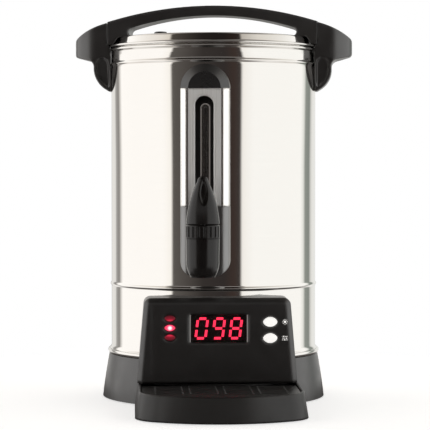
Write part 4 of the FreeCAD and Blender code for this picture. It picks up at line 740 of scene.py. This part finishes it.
def studio_world():
    """A bright room with a dark gap in front and thin dark gaps behind, as polished steel shows it."""
    world = bpy.data.worlds.new("studio")
    world.use_nodes = True
    bpy.context.scene.world = world
    tree = world.node_tree
    tree.nodes.clear()

    def add(kind, **fields):
        node = tree.nodes.new(kind)
        for key, value in fields.items():
            setattr(node, key, value)
        return node

    def maths(kind, *inputs):
        return maths_node(tree, kind, *inputs)

    def ramp(fac, stops):
        node = add("ShaderNodeValToRGB")
        fill_ramp(node, stops)
        tree.links.new(fac, node.inputs["Fac"])
        return node.outputs["Color"]

    direction = add("ShaderNodeTexCoord").outputs["Generated"]
    split = add("ShaderNodeSeparateXYZ")
    tree.links.new(direction, split.inputs[0])
    x, y, z = split.outputs
    azimuth = maths("ARCTAN2", x, maths("MULTIPLY", y, -1.0))
    # The higher a gap is, the further from the front it lies and the wider it is.
    widening = maths("ADD", maths("MULTIPLY", maths("MAXIMUM", z, 0.0), 0.5), 1.0)
    azimuth = maths("DIVIDE", azimuth, widening)
    round_fac = maths("ADD", maths("DIVIDE", azimuth, 2 * math.pi), 0.5)

    def deg(angle):
        """Where an angle from the front lies on the ramp round the room."""
        return angle / 360 + 0.5

    cream, pale = (1.0, 0.98, 0.963), (0.95, 0.945, 0.93)
    none, full = (0, 0, 0), (1, 1, 1)
    stops = [
        (deg(-180), (0.30, 0.29, 0.28)), (deg(-174), (0.34, 0.33, 0.32)), (deg(-168), (0.70, 0.69, 0.67)),
        (deg(-148), (0.72, 0.71, 0.69)), (deg(-144), (0.36, 0.35, 0.34)), (deg(-135), (0.24, 0.23, 0.22)),
        (deg(-131), (0.58, 0.56, 0.54)), (deg(-126), cream), (deg(-60), cream), (deg(-50.4), (0.95, 0.92, 0.88)),
        (deg(-48), (0.10, 0.092, 0.085)), (deg(-34), (0.075, 0.067, 0.062)), (deg(-14), (0.035, 0.030, 0.028)),
        (deg(9), (0.030, 0.025, 0.024)), (deg(20), (0.042, 0.029, 0.025)), (deg(27), (0.045, 0.038, 0.036)),
        (deg(29.6), (0.88, 0.86, 0.83)), (deg(42), pale), (deg(112), pale), (deg(119), (0.74, 0.75, 0.72)),
        (deg(123), (0.26, 0.28, 0.26)), (deg(134), (0.22, 0.24, 0.22)), (deg(139), (0.6, 0.6, 0.58)),
        (deg(146), (0.74, 0.74, 0.72)), (deg(167), (0.70, 0.70, 0.68)), (deg(174), (0.34, 0.34, 0.33)),
        (deg(180), (0.30, 0.29, 0.28)),
    ]
    walls = ramp(round_fac, stops)
    height = ramp(maths("ADD", maths("MULTIPLY", z, 0.5), 0.5), [
        (0.0, (0.30, 0.27, 0.25)), (0.22, (0.75, 0.72, 0.70)), (0.40, full), (0.72, full),
        (0.85, (0.74, 0.71, 0.67)), (0.92, (0.26, 0.245, 0.235)), (1.0, (0.11, 0.105, 0.10)),
    ])
    product = add("ShaderNodeMix", data_type="RGBA", blend_type="MULTIPLY")
    product.inputs["Factor"].default_value = 1.0
    raised = add("ShaderNodeMix", data_type="RGBA", blend_type="LIGHTEN")
    raised.inputs["B"].default_value = (0.52, 0.50, 0.49, 1)
    in_gap = ramp(round_fac, [(deg(-52), none), (deg(-48), full), (deg(27), full), (deg(31), none)])
    at_height = ramp(z, [(0.22, none), (0.34, full), (0.42, full), (0.50, none)])
    tree.links.new(maths("MULTIPLY", in_gap, at_height), raised.inputs["Factor"])
    tree.links.new(walls, raised.inputs["A"])
    tree.links.new(raised.outputs["Result"], product.inputs["A"])
    tree.links.new(height, product.inputs["B"])
    room = add("ShaderNodeBackground")
    room.inputs["Strength"].default_value = 1.23
    tree.links.new(product.outputs["Result"], room.inputs["Color"])
    backdrop = add("ShaderNodeBackground")
    backdrop.inputs["Color"].default_value = (1, 1, 1, 1)
    backdrop.inputs["Strength"].default_value = 1.0
    choose = add("ShaderNodeMixShader")
    tree.links.new(add("ShaderNodeLightPath").outputs["Is Camera Ray"], choose.inputs[0])
    tree.links.new(room.outputs[0], choose.inputs[1])
    tree.links.new(backdrop.outputs[0], choose.inputs[2])
    tree.links.new(choose.outputs[0], add("ShaderNodeOutputWorld").inputs["Surface"])


def studio_floor():
    """A plain pale round table top; in the urn's reflections it is painted darker near the urn's foot and in
    front, as painted shade.
    """
    bm = bmesh.new()
    bm.faces.new([bm.verts.new((x, y, 0)) for x, y in disc(0, 0, 480.0, 96)])
    floor = piece("studio_floor", bm, Matrix.Translation((0, AXIS.y, -0.0002)) @ Matrix.Scale(MM, 4))
    paint = Paint("studio_floor", 0.7, Specular_IOR_Level=0.1)
    paint.colours(paint.noise(3, 2), (0.3, (0.90, 0.90, 0.895)), (0.7, (0.93, 0.93, 0.925)))
    paint.shader.inputs["Emission Color"].default_value = (1, 1, 1, 1)
    paint.shader.inputs["Emission Strength"].default_value = 0.6
    # Painted shade: glossy rays see the floor as a dark emission near the urn's foot and in a patch in front,
    # brightening outwards.
    painted_shade_patches = []
    for forwards, inside, outside in ((0, 0.24, 0.36), (0.40, 0.27, 0.44)):
        apart = paint.add("ShaderNodeVectorMath", operation="DISTANCE")
        paint.wire(paint.coords, apart.inputs[0])
        apart.inputs[1].default_value = AXIS - Vector((0, forwards, 0))
        painted_shade_patches.append(paint.spread(apart.outputs["Value"], 0, 1, inside, outside))
    glow = paint.add("ShaderNodeValToRGB")
    glow.color_ramp.elements[0].color = (0.10, 0.09, 0.085, 1)
    glow.color_ramp.elements[1].color = (1.0, 0.98, 0.96, 1)
    paint.wire(paint.maths("MINIMUM", *painted_shade_patches), glow.inputs["Fac"])
    shade = paint.add("ShaderNodeEmission")
    paint.wire(glow.outputs["Color"], shade.inputs["Color"])
    choose = paint.add("ShaderNodeMixShader")
    paint.wire(paint.add("ShaderNodeLightPath").outputs["Is Glossy Ray"], choose.inputs[0])
    paint.wire(paint.shader.outputs[0], choose.inputs[1])
    paint.wire(shade.outputs[0], choose.inputs[2])
    paint.wire(choose.outputs[0], paint.tree.nodes["Material Output"].inputs["Surface"])
    floor.data.materials.append(paint.mat)


def studio_camera():
    """The camera: about two metres in front, a little to the left, level with the tap's lever."""
    distance, height, side = 2.046, 0.251, math.radians(-2.5)
    downwards, aside = math.radians(1.57), 0.0017
    sensor_mm, picture_width, focal_length = 36, 430, 1890
    camera = bpy.data.objects.new("camera", bpy.data.cameras.new("camera"))
    camera.data.sensor_width = sensor_mm
    camera.data.lens = focal_length / picture_width * sensor_mm
    camera.location = AXIS + Vector((distance * math.sin(side), -distance * math.cos(side), height))
    aim = AXIS + Vector((aside, 0, height - distance * math.tan(downwards)))
    camera.rotation_mode = "QUATERNION"
    camera.rotation_quaternion = (aim - camera.location).to_track_quat("-Z", "Y")
    bpy.context.scene.collection.objects.link(camera)
    bpy.context.scene.camera = camera


studio_world()
studio_floor()
studio_camera()
bpy.context.scene.view_settings.view_transform = "Standard"
